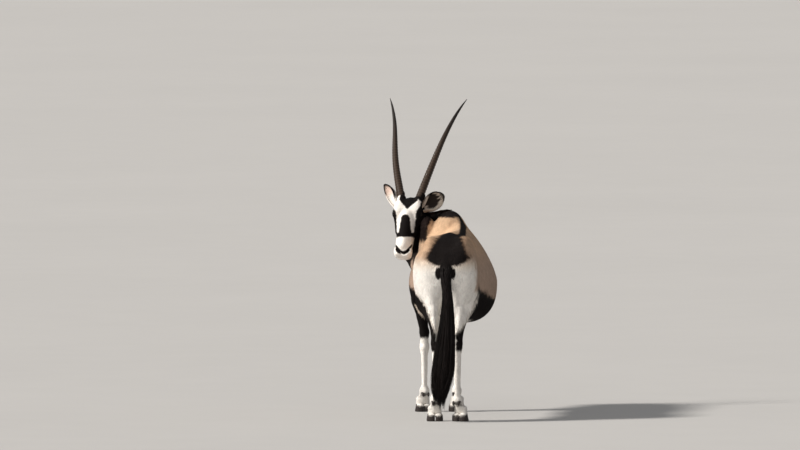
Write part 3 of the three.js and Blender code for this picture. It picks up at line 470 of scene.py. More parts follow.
def eye_frame(side):
    """The way an eye looks, the way along its opening and the way up from it."""
    way = unit(head_way([side * 0.93, 0.1, 0.36]))
    along = unit(np.cross(way, np.cross(head_way([0, 0.94, -0.34]), way)))
    return way, along, np.cross(way, along)


def reach(field, start, way, most=300.0):
    """How far rays from inside the field run before they leave it."""
    near = np.zeros(len(start))
    far = np.full(len(start), 1.0)
    for distance in np.arange(4.0, most, 4.0):
        inside = field(start + way * distance) < 0
        open_yet = near == far - 4.0
        open_yet |= distance == 4.0
        near = np.where(inside & open_yet, distance, near)
        far = np.where(open_yet, distance + 4.0, far)
    far = near + 4.0
    for _ in range(9):
        half = (near + far) / 2
        inside = field(start + way * half[:, None]) < 0
        near = np.where(inside, half, near)
        far = np.where(inside, far, half)
    return near


head_middle = through([[-50, -98], [-30, -90], [0, -84], [60, -88], [160, -80], [260, -78], [334, -90]])


def on_head(rows, side, sink=0.0):
    """Points on the skull's surface: rows hold the place down the face and degrees from U to the side."""
    rows = np.asarray(rows, float)
    places = np.minimum(rows[:, 0], 331.0)
    turn = np.radians(rows[:, 1]) * side
    start = np.stack([np.zeros(len(rows)), places, head_middle(places)[:, 0]], axis=1)
    way = np.stack([np.sin(turn), np.zeros(len(rows)), np.cos(turn)], axis=1)
    out = reach(head_local, start, way, 140.0) - SKIN_DEPTH - sink
    return from_head(start + way * out[:, None])


def line_distance(points, radii):
    """Distance to a rod along points with a radius at each."""
    forms = [
        [bone(a, b, ra, rb), 3.0]
        for a, b, ra, rb in zip(points, points[1:], radii, radii[1:])
    ]
    return field_of(forms)


NOSTRIL = [[312, 22], [306, 34], [297, 45], [287, 53], [279, 55]]
NOSTRIL_RADII = [2.0, 4.6, 6.2, 5.4, 2.0]
NOSTRIL_WING = [[318, 24], [312, 52], [298, 68], [284, 70], [274, 62]]
MOUTH = [[334, 150], [326, 130], [314, 118], [298, 112], [282, 110], [264, 110]]
nostril_lines = [on_head(NOSTRIL, side, 1.0) for side in (1, -1)]
nostril_cuts = [line_distance(line, NOSTRIL_RADII) for line in nostril_lines]
wing_lines = [line_distance(on_head(NOSTRIL_WING, side, 5.0), [5, 7, 7, 6, 4]) for side in (1, -1)]
mouth_lines = [on_head(MOUTH, side, 0.0) for side in (1, -1)]
mouth_cuts = [line_distance(line, [2.6, 3.4, 3.0, 2.6, 2.2, 1.4]) for line in mouth_lines]


def eye_numbers(p, side):
    """Along, up and out from an eye's middle, and how far out of the lids' opening a point is."""
    way, along, up = eye_frame(side)
    q = p - eye_place(side)
    a = q @ along
    b = q @ up
    out = q @ way
    tall = 9.5 * (1 - 0.35 * clamp(np.abs(a) / 16.5, 0, 1) ** 3)
    return a, b, out, np.hypot(a / 16.5, b / tall), np.linalg.norm(q, axis=1)


def head_detail(p, d):
    """The skin's field near the head, with lids, folds, nostrils and lips."""
    for side in (1, -1):
        a, b, out, opening, away = eye_numbers(p, side)
        front = out > 4
        d = join(d, away - (EYE_RADIUS + LID_THICKNESS - 0.6), 7)
        rim = np.exp(-(((opening - 1.28) / 0.2) ** 2)) * front * (away < 34)
        d = d - 1.3 * rim
        crease = np.exp(-(((opening - 2.05) / 0.22) ** 2)) * front * (away < 48)
        d = d + crease * np.where(b > 0, 3.0, 1.4)
        brow = np.exp(-(((opening - 2.9) / 0.4) ** 2)) * front * (b > 0) * (away < 60)
        d = d - 2.2 * brow
        corner = np.exp(-(((a - 20) / 5) ** 2 + ((b + 3) / 3.0) ** 2)) * front
        d = d + 3.0 * corner
        d = np.maximum(d, -np.maximum((opening - 1) * 9, 6 - out))
        d = np.maximum(d, EYE_RADIUS + 0.35 - away)
    for wing in wing_lines:
        d = join(d, wing(p), 9)
    for cut in nostril_cuts:
        d = -join(-d, cut(p), 3)
    for cut in mouth_cuts:
        d = -join(-d, cut(p), 2.5)
    return d


# Tail: rows from its root down are height, middle across, middle along Y, half width and half depth
TAIL_TIP_HEIGHT = 55
TAIL = [
    [900, 4, -566, 38, 34],
    [868, 5, -604, 34, 30],
    [800, 8, -626, 31, 27],
    [690, 18, -640, 36, 28],
    [560, 15, -652, 48, 32],
    [440, 6, -658, 62, 38],
    [340, -2, -658, 69, 42],
    [250, -11, -654, 72, 42],
    [170, -22, -648, 58, 36],
    [105, -26, -644, 32, 24],
    [TAIL_TIP_HEIGHT, -28, -642, 9, 8],
]
tail_at = through([[i, *row] for i, row in enumerate(TAIL)])
TAIL_DOCK = [[0.0, 30], [1.0, 27], [2.0, 22], [3.0, 19], [4.0, 15], [5.0, 10]]


def tail_dock():
    points = [tail_at(place)[[1, 2, 0]] for place, _ in TAIL_DOCK]
    return line_distance(points, [radius for _, radius in TAIL_DOCK])


dock = tail_dock()


HIP_HOLLOW = mass([-218, -440, 1048], [90, 230, 92])


def clear_of_neck(p):
    """0 in the neck and 1 where the head stands clear of it."""
    return ramp(body_without_head(p), 3, 22)


def skin_field(p):
    d = -join(-body(p), HIP_HOLLOW(p), 50)
    d = join(d, dock(p), 14)
    d = d + mix(SKIN_DEPTH, FACE_DEPTH, clear_of_neck(p))
    near = np.linalg.norm(p - from_head([0, 140, -60]), axis=1) < 260
    if near.any():
        d[near] = head_detail(p[near], d[near])
    return d


# Meshing: one point in each cell of a grid that the surface crosses


def axis(bands):
    """Places along one axis from bands of [start, step], ended by [end]."""
    places = []
    for (start, step), (end, *_) in zip(bands, bands[1:]):
        count = max(round((end - start) / step), 1)
        places.extend(start + (end - start) * np.arange(count) / count)
    return np.array([*places, bands[-1][0]])


def sample(field, axes, block=4):
    """Field values on a grid. Blocks that the surface can't reach keep a corner's value."""
    picks = [np.unique(np.append(np.arange(0, len(a), block), len(a) - 1)) for a in axes]
    coarse_axes = [a[pick] for a, pick in zip(axes, picks)]
    grid = np.stack(np.meshgrid(*coarse_axes, indexing="ij"), axis=-1)
    shape = grid.shape[:3]
    coarse = field(grid.reshape(-1, 3)).reshape(shape)
    nearest = np.abs(coarse[:-1, :-1, :-1])
    for shift in np.ndindex(2, 2, 2):
        window = tuple(slice(s, n - 1 + s) for s, n in zip(shift, shape))
        nearest = np.minimum(nearest, np.abs(coarse[window]))
    sizes = np.meshgrid(*[np.diff(a) for a in coarse_axes], indexing="ij")
    near = nearest < 0.8 * np.sqrt(sum(s * s for s in sizes))
    owners = [
        clamp(np.searchsorted(pick, np.arange(len(a)), side="right") - 1, 0, len(pick) - 2)
        for a, pick in zip(axes, picks)
    ]
    before = [
        np.where(np.arange(len(a)) == pick[o], np.maximum(o - 1, 0), o) for a, pick, o in zip(axes, picks, owners)
    ]
    values = coarse[np.ix_(*owners)].copy()
    wanted = np.zeros(values.shape, bool)
    for choice in np.ndindex(2, 2, 2):
        pick = [before[c] if use else owners[c] for c, use in enumerate(choice)]
        wanted |= near[np.ix_(*pick)]
    i, j, k = np.nonzero(wanted)
    points = np.stack([axes[0][i], axes[1][j], axes[2][k]], axis=1)
    found = np.empty(len(points))
    for start in range(0, len(points), 200000):
        found[start : start + 200000] = field(points[start : start + 200000])
    values[i, j, k] = found
    return values


def surface(field, axes):
    """Points and quads of the field's surface."""
    values = sample(field, axes)
    inside = values < 0
    nx, ny, nz = values.shape
    count = np.zeros((nx - 1, ny - 1, nz - 1), np.int8)
    corners = list(np.ndindex(2, 2, 2))
    for a, b, c in corners:
        count += inside[a : nx - 1 + a, b : ny - 1 + b, c : nz - 1 + c]
    cells = np.stack(np.nonzero((count > 0) & (count < 8)), axis=1)
    total = np.zeros((len(cells), 3))
    hits = np.zeros(len(cells))
    for corner in corners:
        for c in range(3):
            if corner[c]:
                continue
            other = list(corner)
            other[c] = 1
            here = cells + corner
            there = cells + other
            v0 = values[tuple(here.T)]
            v1 = values[tuple(there.T)]
            cross = (v0 < 0) != (v1 < 0)
            t = np.where(cross, v0 / np.where(cross, v0 - v1, 1), 0)
            p0 = np.stack([axes[m][here[:, m]] for m in range(3)], axis=1)
            p1 = np.stack([axes[m][there[:, m]] for m in range(3)], axis=1)
            total += (p0 + (p1 - p0) * t[:, None]) * cross[:, None]
            hits += cross
    points = total / hits[:, None]
    number = np.full(count.shape, -1, np.int64)
    number[tuple(cells.T)] = np.arange(len(cells))
    quads = []
    for c in range(3):
        u, v = (c + 1) % 3, (c + 2) % 3
        first = [slice(None)] * 3
        second = [slice(None)] * 3
        first[c] = slice(0, values.shape[c] - 1)
        second[c] = slice(1, values.shape[c])
        change = inside[tuple(first)] != inside[tuple(second)]
        spots = np.stack(np.nonzero(change), axis=1)
        spots = spots[(spots[:, u] > 0) & (spots[:, v] > 0)]
        spots = spots[(spots[:, u] < values.shape[u] - 1) & (spots[:, v] < values.shape[v] - 1)]
        ring = []
        for du, dv in ((1, 1), (0, 1), (0, 0), (1, 0)):
            cell = spots.copy()
            cell[:, u] -= du
            cell[:, v] -= dv
            ring.append(number[tuple(cell.T)])
        ring = np.stack(ring, axis=1)
        starts_inside = inside[tuple(spots.T)]
        ring[~starts_inside] = ring[~starts_inside][:, ::-1]
        quads.append(ring)
    return points, np.concatenate(quads)


def slope(field, p, step=0.6):
    """The field's value and its gradient at p."""
    here = field(p)
    ways = [(field(p + step * np.eye(3)[c]) - here) / step for c in range(3)]
    return here, np.stack(ways, axis=1)


def settle(field, points, most, rounds=2):
    """Points moved onto the surface, none of them further than most."""
    moved = points.copy()
    for _ in range(rounds):
        here, ways = slope(field, moved)
        steep = np.maximum(np.einsum("ij,ij->i", ways, ways), 0.3)
        moved = moved - ways * (here / steep)[:, None]
    far = np.linalg.norm(moved - points, axis=1) > most
    moved[far] = points[far]
    return moved, unit(slope(field, moved)[1])


EYE_BAND_X = [[-420, 8], [-392, 3.6], [-205, 7], [290]]
SKIN_AXES = [
    axis(EYE_BAND_X),
    axis([[-716, 6.5], [-430, 10], [340, 8], [368, 3.8], [620, 8], [880]]),
    axis([[20, 5], [135, 8.5], [850, 3.8], [1110, 3.0], [1160, 3.8], [1256]]),
]


# Markings, and painted shade on the neck. Colours are mixed in linear light.


def colour(r, g, b):
    """A linear colour from its usual 0 to 255 numbers."""
    c = np.array([r, g, b]) / 255
    return np.where(c < 0.04045, c / 12.92, ((c + 0.055) / 1.055) ** 2.4)


TAN = colour(206, 172, 140)
FAWN = colour(183, 158, 140)
WHITE = colour(246, 241, 234)
CREAM = colour(232, 216, 198)
BLACK = colour(17, 12, 11)
BROWN = colour(62, 38, 27)
DARK_BROWN = colour(34, 21, 17)
PINK = colour(214, 170, 146)


def paint(base, tone, weight):
    return base + (np.asarray(tone) - base) * clamp(weight, 0, 1)[:, None]


def wobble(p, size):
    """A smooth rough number between about -1 and 1, in lumps of about size millimetres."""
    k = 2 * math.pi / size
    x, y, z = p.T * k
    a = np.sin(0.31 * x + 0.47 * y + 1.3 + 1.7 * np.sin(0.23 * z + 0.11 * y))
    b = np.sin(0.43 * z - 0.29 * x + 4.1 + 1.5 * np.sin(0.37 * y - 0.19 * x))
    c = np.sin(0.53 * y + 0.41 * z + 2.2 + 1.9 * np.sin(0.17 * x + 0.31 * z))
    return (a + b + c) / 3


def band(value, low, high, soft):
    return ramp(value, low - soft, low + soft) * (1 - ramp(value, high - soft, high + soft))


def polyline_distance(p, points):
    """How far points p are from a line, and the share of the line where it is nearest."""
    points = np.asarray(points, float)
    best = np.full(len(p), 1e9)
    place = np.zeros(len(p))
    for i, (a, b) in enumerate(zip(points, points[1:])):
        along = b - a
        t = clamp((p - a) @ along / (along @ along), 0, 1)
        away = np.linalg.norm(p - a - t[:, None] * along, axis=1)
        place = np.where(away < best, i + t, place)
        best = np.minimum(best, away)
    return best, place


def outer_line(inner, outer):
    """Where lines from one chain out through another leave the neck."""
    starts = np.array([row[:3] for row in outer], float)
    middles = np.array([row[:3] for row in inner], float)
    nearest = np.array([middles[np.argmin(np.linalg.norm(middles - s, axis=1))] for s in starts])
    ways = unit(starts - nearest)
    return starts + ways * reach(body_without_head, starts, ways)[:, None]


def seen(p):
    """The column and row of the photograph where a point lies, for the markings and the painted shade that show there.
    """
    x, y, z = p.T
    sideways = x * math.cos(CAMERA_AZIMUTH) + y * math.sin(CAMERA_AZIMUTH)
    column = CENTRE_PIXEL + 0.001 * PIXELS_PER_METRE * sideways
    row = GROUND_PIXEL - 0.001 * PIXELS_PER_METRE * (
        z * math.cos(CAMERA_ELEVATION) + (y - GROUND_PLACE) * math.sin(CAMERA_ELEVATION)
    )
    return column, row


throat_line = outer_line(NECK_SPINE, NECK_THROAT)
crest_line = outer_line(NECK_SPINE, NECK_CREST)
throat_line = np.vstack([[-60, 380, 560], [-110, 520, 640], throat_line[1:]])
NECK_PLACES = np.array([row[:3] for row in NECK_SPINE], float)

CROUP_WIDTH = through(
    [
        [846, 24],
        [870, 28],
        [884, 38],
        [894, 62],
        [905, 86],
        [918, 110],
        [934, 122],
        [960, 106],
        [1000, 88],
        [1024, 78],
        [1050, 60],
        [1062, 54],
        [1090, 50],
    ]
)
WHITE_RIGHT = through(
    [[430, 40], [480, 62], [530, 92], [570, 114], [625, 140], [700, 166], [800, 174], [900, 165]]
)
WHITE_LEFT = through(
    [[430, 20], [480, 34], [530, 56], [570, 74], [630, 100], [690, 148], [730, 186], [800, 230], [900, 230]]
)
STRIPE_PLACE = through(
    [[-330, 34], [-280, 48], [-150, 58], [0, 52], [120, 44], [200, 38], [260, 24], [310, -8], [352, -50], [430, -70]]
)


SLIT_COLUMN = 419.6
SLIT_ROW = 311.5


def neck_weight(p):
    """1 on the neck and 0 on the trunk, the legs and the head."""
    return ramp(p[:, 1], 440, 600) * ramp(p[:, 2], 700, 790)


def head_weight(p):
    """1 on the head and 0 on the neck and the body."""
    return clear_of_neck(p) * ramp(head_local(to_head(p)), 60, 30)


def neck_side(p):
    """Unit vectors out of the neck's spine and along it."""
    _, place = polyline_distance(p, NECK_PLACES)
    i = np.minimum(place.astype(int), len(NECK_PLACES) - 2)
    t = (place - i)[:, None]
    on = NECK_PLACES[i] * (1 - t) + NECK_PLACES[i + 1] * t
    along = unit(NECK_PLACES[i + 1] - NECK_PLACES[i])
    out = p - on
    return unit(out - along * np.einsum("ij,ij->i", out, along)[:, None]), along


def body_marks(p, n):
    x, y, z = p.T
    rough = wobble(p, 26) * 7 + wobble(p, 11) * 4
    middle, low, high, half, _ = trunk_at(clamp(y, -598, 606)).T
    side = np.where(x > middle, 1, -1)
    leg_low = ramp(z, 640, 560)
    c = paint(np.tile(TAN, (len(p), 1)), FAWN, ramp(z + rough, 1035, 830))
    c = paint(c, FAWN * 0.86, ramp(wobble(p, 260), 0.1, 0.9) * 0.35)
    # Shoulders are greyer towards the elbow
    c = paint(c, FAWN * 0.8, ramp(z, 900, 690) * 0.6)
    # Belly and the inner side of the legs
    inner = -n[:, 0] * side
    under = ramp(-n[:, 2], 0.55, 0.85) * ramp(z, 720, 660) * ramp(y, 400, 330)
    c = paint(c, WHITE, under)
    # Lower flank band, between the fawn and the white belly
    h = z - low + rough
    along = ramp(y, -420, -330) * ramp(y, 500, 420)
    c = paint(c, BLACK, band(h, 6, 146, 12) * along * ramp(-inner, -0.1, 0.25) * ramp(z, 820, 760))
    # Hind legs: black in front and outside down to the hock
    hind = ramp(y, -120, -190) * ramp(z, 760, 700)
    c = paint(c, WHITE, hind * ramp(inner, 0.0, 0.4))
    outside = ramp(-inner, -0.35, 0.1)
    ahead = ramp(n[:, 1], -0.1, 0.4)
    dark = hind * np.maximum(outside, ahead) * ramp(z + rough, 752, 700)
    dark = np.maximum(dark, hind * ramp(z + rough, 545, 500) * (1 - 0.75 * ramp(inner, 0.3, 0.8)))
    c = paint(c, BLACK, dark)
    # White buttocks
    limit = np.where(side > 0, WHITE_RIGHT(z)[:, 0], WHITE_LEFT(z)[:, 0])
    from_middle = np.abs(x + 4)
    lowest = np.where(side > 0, mix(0.12, -0.08, ramp(z, 760, 700)), -0.22)
    highest = np.where(side > 0, mix(0.42, 0.12, ramp(z, 760, 700)), 0.14)
    back = np.maximum(ramp(-n[:, 1], lowest, highest), ramp(y, -430, -470))
    white = back * ramp(y, -260, -330) * ramp(z + rough, 955, 870) * ramp(z + rough, 485, 540)
    white = white * ramp(from_middle + rough * 1.2, limit + 16, limit - 16)
    c = paint(c, CREAM, white * ramp(z, 990, 930))
    c = paint(c, WHITE, white * ramp(z, 930, 830))
    # Lower hind legs
    c = paint(c, WHITE, ramp(z + rough * 0.6, 412, 392) * ramp(y, -120, -200))
    # Forelegs
    fore = ramp(y, 220, 290) * ramp(z, 700, 640)
    c = paint(c, BLACK, fore * (1 - 0.6 * ramp(inner, 0.5, 0.9) * ramp(z, 600, 560)) * ramp(z, 690, 640))
    c = paint(c, BLACK, fore * ramp(z, 640, 600))
    c = paint(c, WHITE, ramp(z + rough * 0.6, 436, 414) * ramp(y, 120, 200))
    # The white fold behind its left elbow
    column, row = seen(p)
    right = column - SLIT_COLUMN
    below = row - SLIT_ROW
    slit = np.hypot(right * 0.83 - below * 0.56, (right * 0.56 + below * 0.83) * 0.2)
    c = paint(c, CREAM, ramp(slit + rough * 0.03, 2.0, 1.2) * ramp(y, 240, 280) * ramp(-n[:, 1], 0.1, 0.3))
    # Fronts of the cannons, fetlocks and the hair over the hooves
    front = ramp(n[:, 1], 0.35, 0.75)
    c = paint(c, BLACK, front * band(z + rough, 165, 330, 18))
    c = paint(c, DARK_BROWN, ramp(-n[:, 1], 0.2, 0.7) * band(z + rough * 0.6, 86, 112, 8) * 0.8)
    c = paint(c, DARK_BROWN, ramp(z + rough * 0.6, 40, 30) * 0.7)
    # Chest and throat
    away, _ = polyline_distance(p, throat_line)
    c = paint(c, BLACK, ramp(away + rough * 0.6, 58, 40) * ramp(y, 330, 420))
    # Dorsal stripe, crest and croup
    from_line = np.abs(x - STRIPE_PLACE(y)[:, 0])
    stripe = ramp(from_line + rough * 0.35, 21, 14) * ramp(n[:, 2], 0.2, 0.45) * ramp(y, -350, -310)
    c = paint(c, BLACK, stripe * ramp(y, 400, 360) * ramp(z, 990, 1010))
    wide = CROUP_WIDTH(z)[:, 0]
    from_croup = np.abs(x - 10 - 4 * ramp(z, 940, 1020)) + rough
    ends = ramp(z + rough * 0.6, 882, 896) * ramp(y + rough * 0.4, -236, -262)
    c = paint(c, BROWN, ramp(from_croup, wide + 32, wide - 10) * ends * 0.75)
    c = paint(c, BLACK * 1.2, ramp(from_croup, wide + 8, wide - 14) * ends)
    for at in (-37, 43):
        lobe = np.hypot((x - at) / 19, (z - 848) / 35)
        c = paint(c, BLACK, ramp(lobe, 1.12, 0.85) * ramp(y, -480, -520))
    c = paint(c, BLACK, ramp(dock(p), 16, 7) * ramp(y, -520, -550))
    return c


# The column of the photograph where the painted shade on the neck's side ends, by rows of the photograph
SHADE_EDGE = through(
    [[209, 436], [218, 431.8], [229, 428.2], [247.4, 425.4], [258, 419], [267, 411], [276, 404]]
)


# The neck's marks, and painted shade where the head's shadow falls on the neck and shoulder
def neck_marks_and_shade(p, n, c):
    rough = wobble(p, 26) * 7 + wobble(p, 11) * 4
    weight = neck_weight(p)
    out, _ = neck_side(p)
    # Painted shade in the bend of the neck, on the side that faces into it
    inside = unit(vec(-330, 560, 0) - p * [1, 1, 0])
    fold = np.einsum("ij,ij->i", unit(n * [1, 1, 0.3]), inside)
    dark = ramp(fold + rough * 0.01, 0.05, 0.45) * ramp(p[:, 1], 440, 540)
    dark = dark * ramp(p[:, 2] + rough, 800, 880)
    # Painted shade, dark brown: the head's shadow on the side of the neck and shoulder, left of a line from the
    # withers down to the chest; and the dark crest over the withers, the coat's own
    column, row = seen(p)
    shade = ramp(column + rough * 0.12, SHADE_EDGE(row)[:, 0] + 1.2, SHADE_EDGE(row)[:, 0] - 1.2)
    shade = shade * ramp(row, 276, 262) * ramp(p[:, 1] + rough, 258, 300)
    shade = shade * np.maximum(ramp(p[:, 2] + rough, 962, 1000), ramp(p[:, 1], 390, 480))
    crest = ramp(row + rough * 0.1, 218.2, 216.2) * ramp(column, 464, 461) * ramp(p[:, 1], 130, 230)
    dark = np.maximum(dark, shade) * ramp(p[:, 0] + rough * 0.6, -306, -276)
    dark = np.maximum(dark, crest)
    # Painted shade and crest in dark brown, then the crest in black
    c = paint(c, DARK_BROWN * 0.7, dark)
    c = paint(c, BLACK, crest * 0.8)
    away, _ = polyline_distance(p, crest_line)
    c = paint(c, BLACK, ramp(away + rough * 0.6, 46, 28) * ramp(p[:, 1], 330, 420))
    away, _ = polyline_distance(p, throat_line)
    return paint(c, BLACK, ramp(away + rough * 0.6, 52, 36) * weight)


# Marks on the face, by rows of the photograph: the middle of the face, then half widths or edges
FACE_MIDDLE = through(
    [[196, 409.7], [205, 408], [209, 407], [214.4, 405.8], [233, 405], [246, 403.6], [258, 402.8]]
)
PATCH_WIDTH = through(
    [[214.3, 0], [215.2, 2.2], [216.6, 3.7], [219, 4.4], [223, 4.9], [231.5, 6.2], [238, 6.9]]
)
CROWN_WIDTH = through([[190, 9.6], [199.5, 9.3], [203.4, 6.4], [206.5, 3], [209.2, 0.2]])
LEFT_EDGE = through(
    [[196, 388], [206, 391.5], [211, 395.6], [222, 396.7], [233, 397], [238, 397], [241, 391]]
)
RIGHT_EDGE = through(
    [
        [190, 415],
        [197, 416.6],
        [200, 419.4],
        [202, 420.8],
        [206, 420],
        [210, 417.6],
        [213, 416.2],
        [223, 415.2],
        [234, 413.4],
        [241, 413],
    ]
)
NOSE_ROW = through([[0, 253.0], [2, 252.2], [4, 250.3], [6, 248.2], [8, 246.2], [9, 245]])


def head_marks(p, n):
    q = to_head(p)
    m = n @ HEAD_AXES.T
    s, f, u = q.T
    a = np.abs(s)
    column, row = seen(p)
    rough = wobble(p, 13) * 0.42 + wobble(p, 6) * 0.25
    across = column - FACE_MIDDLE(row)[:, 0]
    front = ramp(m[:, 2], -0.35, 0.05)
    c = np.tile(WHITE, (len(p), 1))
    # Behind the cheeks and the ears the coat turns fawn
    c = paint(c, FAWN, ramp(f + u * 0.4, 6, -30) * ramp(m[:, 2], 0.5, 0.1))
    # Cheek stripe from the horn through the eye to the jaw
    stripe_at, stripe_wide = CHEEK_STRIPE(f).T
    stripe = ramp(np.abs(u - stripe_at) + rough * 5, stripe_wide + 4, stripe_wide - 4) * ramp(a, 30, 42)
    stripe = stripe * ramp(f + rough * 5, 240, 230) * ramp(f, -20, 0) * ramp(row + rough, 238, 236.6)
    c = paint(c, BLACK, stripe * (1 - front))
    # The edges of the stripes as they show from in front
    above_band = ramp(row, 239.5, 237.5)
    edge = LEFT_EDGE(row)[:, 0]
    left = ramp(column + rough, edge + 0.5, edge - 0.5) * above_band
    edge = RIGHT_EDGE(row)[:, 0]
    right = ramp(column + rough, edge - 0.6, edge + 0.6) * above_band
    c = paint(c, BLACK, left * ramp(row, 208, 211.5) * ramp(m[:, 2], -0.75, -0.5))
    c = paint(c, BLACK, right * ramp(row, 186, 190) * ramp(m[:, 2], -0.75, -0.5))
    # The back of the cheek and the jaw's edge
    jaw = ramp(u + rough * 5, -112, -124) * ramp(f, 30, 70) * ramp(f, 236, 214) * ramp(a, 20, 34)
    c = paint(c, BLACK, jaw)
    # Band over the muzzle and the patch on the nose
    c = paint(c, BLACK, band(row + rough, 233, 237.2, 0.5) * ramp(u, -128, -112))
    wide = PATCH_WIDTH(row)[:, 0]
    patch = ramp(np.abs(across) + rough, wide + 0.5, wide - 0.5)
    patch = patch * (ramp(row + rough * 0.6, 213.9, 214.9) * ramp(row, 237.2, 236))
    c = paint(c, BLACK, patch * front)
    wide = CROWN_WIDTH(row)[:, 0]
    crown = ramp(np.abs(across) + rough, wide + 0.6, wide - 0.6) * ramp(row + rough, 209.4, 208.4)
    c = paint(c, BLACK, crown * ramp(m[:, 2] - m[:, 1], -0.1, 0.3))
    # Muzzle, nostrils and lips
    nose = NOSE_ROW(np.abs(across))[:, 0]
    pad = band(row + rough * 0.3, nose - 1.5, nose + 1.6, 0.4) * ramp(np.abs(across), 9.2, 8.2)
    c = paint(c, BLACK, pad * ramp(m[:, 2] + m[:, 1], -0.2, 0.2))
    for cut in nostril_cuts:
        c = paint(c, BLACK * 0.6, ramp(cut(p), 3.4, 0.6))
    for cut in mouth_cuts:
        c = paint(c, DARK_BROWN, ramp(cut(p), 3.6, 0.4) * 0.9)
    # Dark rims round the eyes
    for side in (1, -1):
        _, _, _, opening, away = eye_numbers(p, side)
        c = paint(c, BLACK, ramp(opening + rough * 0.1, 1.9, 1.5) * (away < 60))
        c = paint(c, BLACK * 0.5, ramp(opening, 1.3, 1.1) * (away < 40))
    return c


# The stripe down a cheek: place down the face, then its middle along U and its half width
CHEEK_STRIPE = through(
    [[-30, -28, 12], [30, -34, 14], [74, -38, 21], [140, -56, 22], [200, -72, 26], [240, -84, 26]]
)


# Colours of the skin and coat: markings, with painted shade on the neck
def marks_and_shade(p, n):
    c = neck_marks_and_shade(p, n, body_marks(p, n))
    weight = head_weight(p)
    on = weight > 0
    if on.any():
        c[on] = paint(c[on], head_marks(p[on], n[on]), weight[on])
    return clamp(c * (1 + 0.05 * wobble(p, 31)[:, None]), 0, 1)


# Making objects


def make(name, points, faces, material, colours=None, uvs=None, replaces=(), normals=None):
    """An object from points in field millimetres. Faces are blocks of rows of 3 or 4 point numbers."""
    mesh = bpy.data.meshes.new(name)
    faces = [np.asarray(block) for block in faces]
    sizes = np.concatenate([np.full(len(block), block.shape[1]) for block in faces])
    loops = np.concatenate([block.ravel() for block in faces])
    mesh.vertices.add(len(points))
    mesh.vertices.foreach_set("co", to_metres(points).astype(np.float32).ravel())
    mesh.loops.add(len(loops))
    mesh.loops.foreach_set("vertex_index", loops.astype(np.int32))
    mesh.polygons.add(len(sizes))
    mesh.polygons.foreach_set("loop_start", np.concatenate([[0], np.cumsum(sizes)[:-1]]).astype(np.int32))
    mesh.polygons.foreach_set("use_smooth", np.full(len(sizes), True))
    mesh.update(calc_edges=True)
    if colours is not None:
        layer = mesh.color_attributes.new("Mark", "FLOAT_COLOR", "POINT")
        rgba = np.ones((len(points), 4), np.float32)
        rgba[:, :3] = colours
        layer.data.foreach_set("color", rgba.ravel())
    if uvs is not None:
        layer = mesh.uv_layers.new(name="OFBake")
        layer.data.foreach_set("uv", np.asarray(uvs, np.float32)[loops].ravel())
    if normals is not None:
        mesh.normals_split_custom_set_from_vertices(normals.astype(np.float32).tolist())
    mesh.materials.append(material)
    obj = bpy.data.objects.new(name, mesh)
    bpy.context.scene.collection.objects.link(obj)
    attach(obj, "root")
    if replaces:
        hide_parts(*replaces)
    return obj


def loft(rings, closed=True):
    """Points and faces through rings of the same count of points, with both ends capped by fans."""
    rings = np.asarray(rings, float)
    rows, sides, _ = rings.shape
    points = rings.reshape(-1, 3)
    i, j = np.meshgrid(np.arange(rows - 1), np.arange(sides), indexing="ij")
    k = (j + 1) % sides
    quads = np.stack([i * sides + j, i * sides + k, (i + 1) * sides + k, (i + 1) * sides + j], axis=-1)
    quads = quads.reshape(-1, 4)
    ends = np.array([rings[0].mean(axis=0), rings[-1].mean(axis=0)])
    first = np.stack([np.arange(1, sides + 1) % sides, np.arange(sides), np.full(sides, len(points))], axis=1)
    last = (rows - 1) * sides
    final = np.stack(
        [last + np.arange(sides), last + np.arange(1, sides + 1) % sides, np.full(sides, len(points) + 1)], axis=1
    )
    return np.vstack([points, ends]), [quads, np.vstack([first, final])]
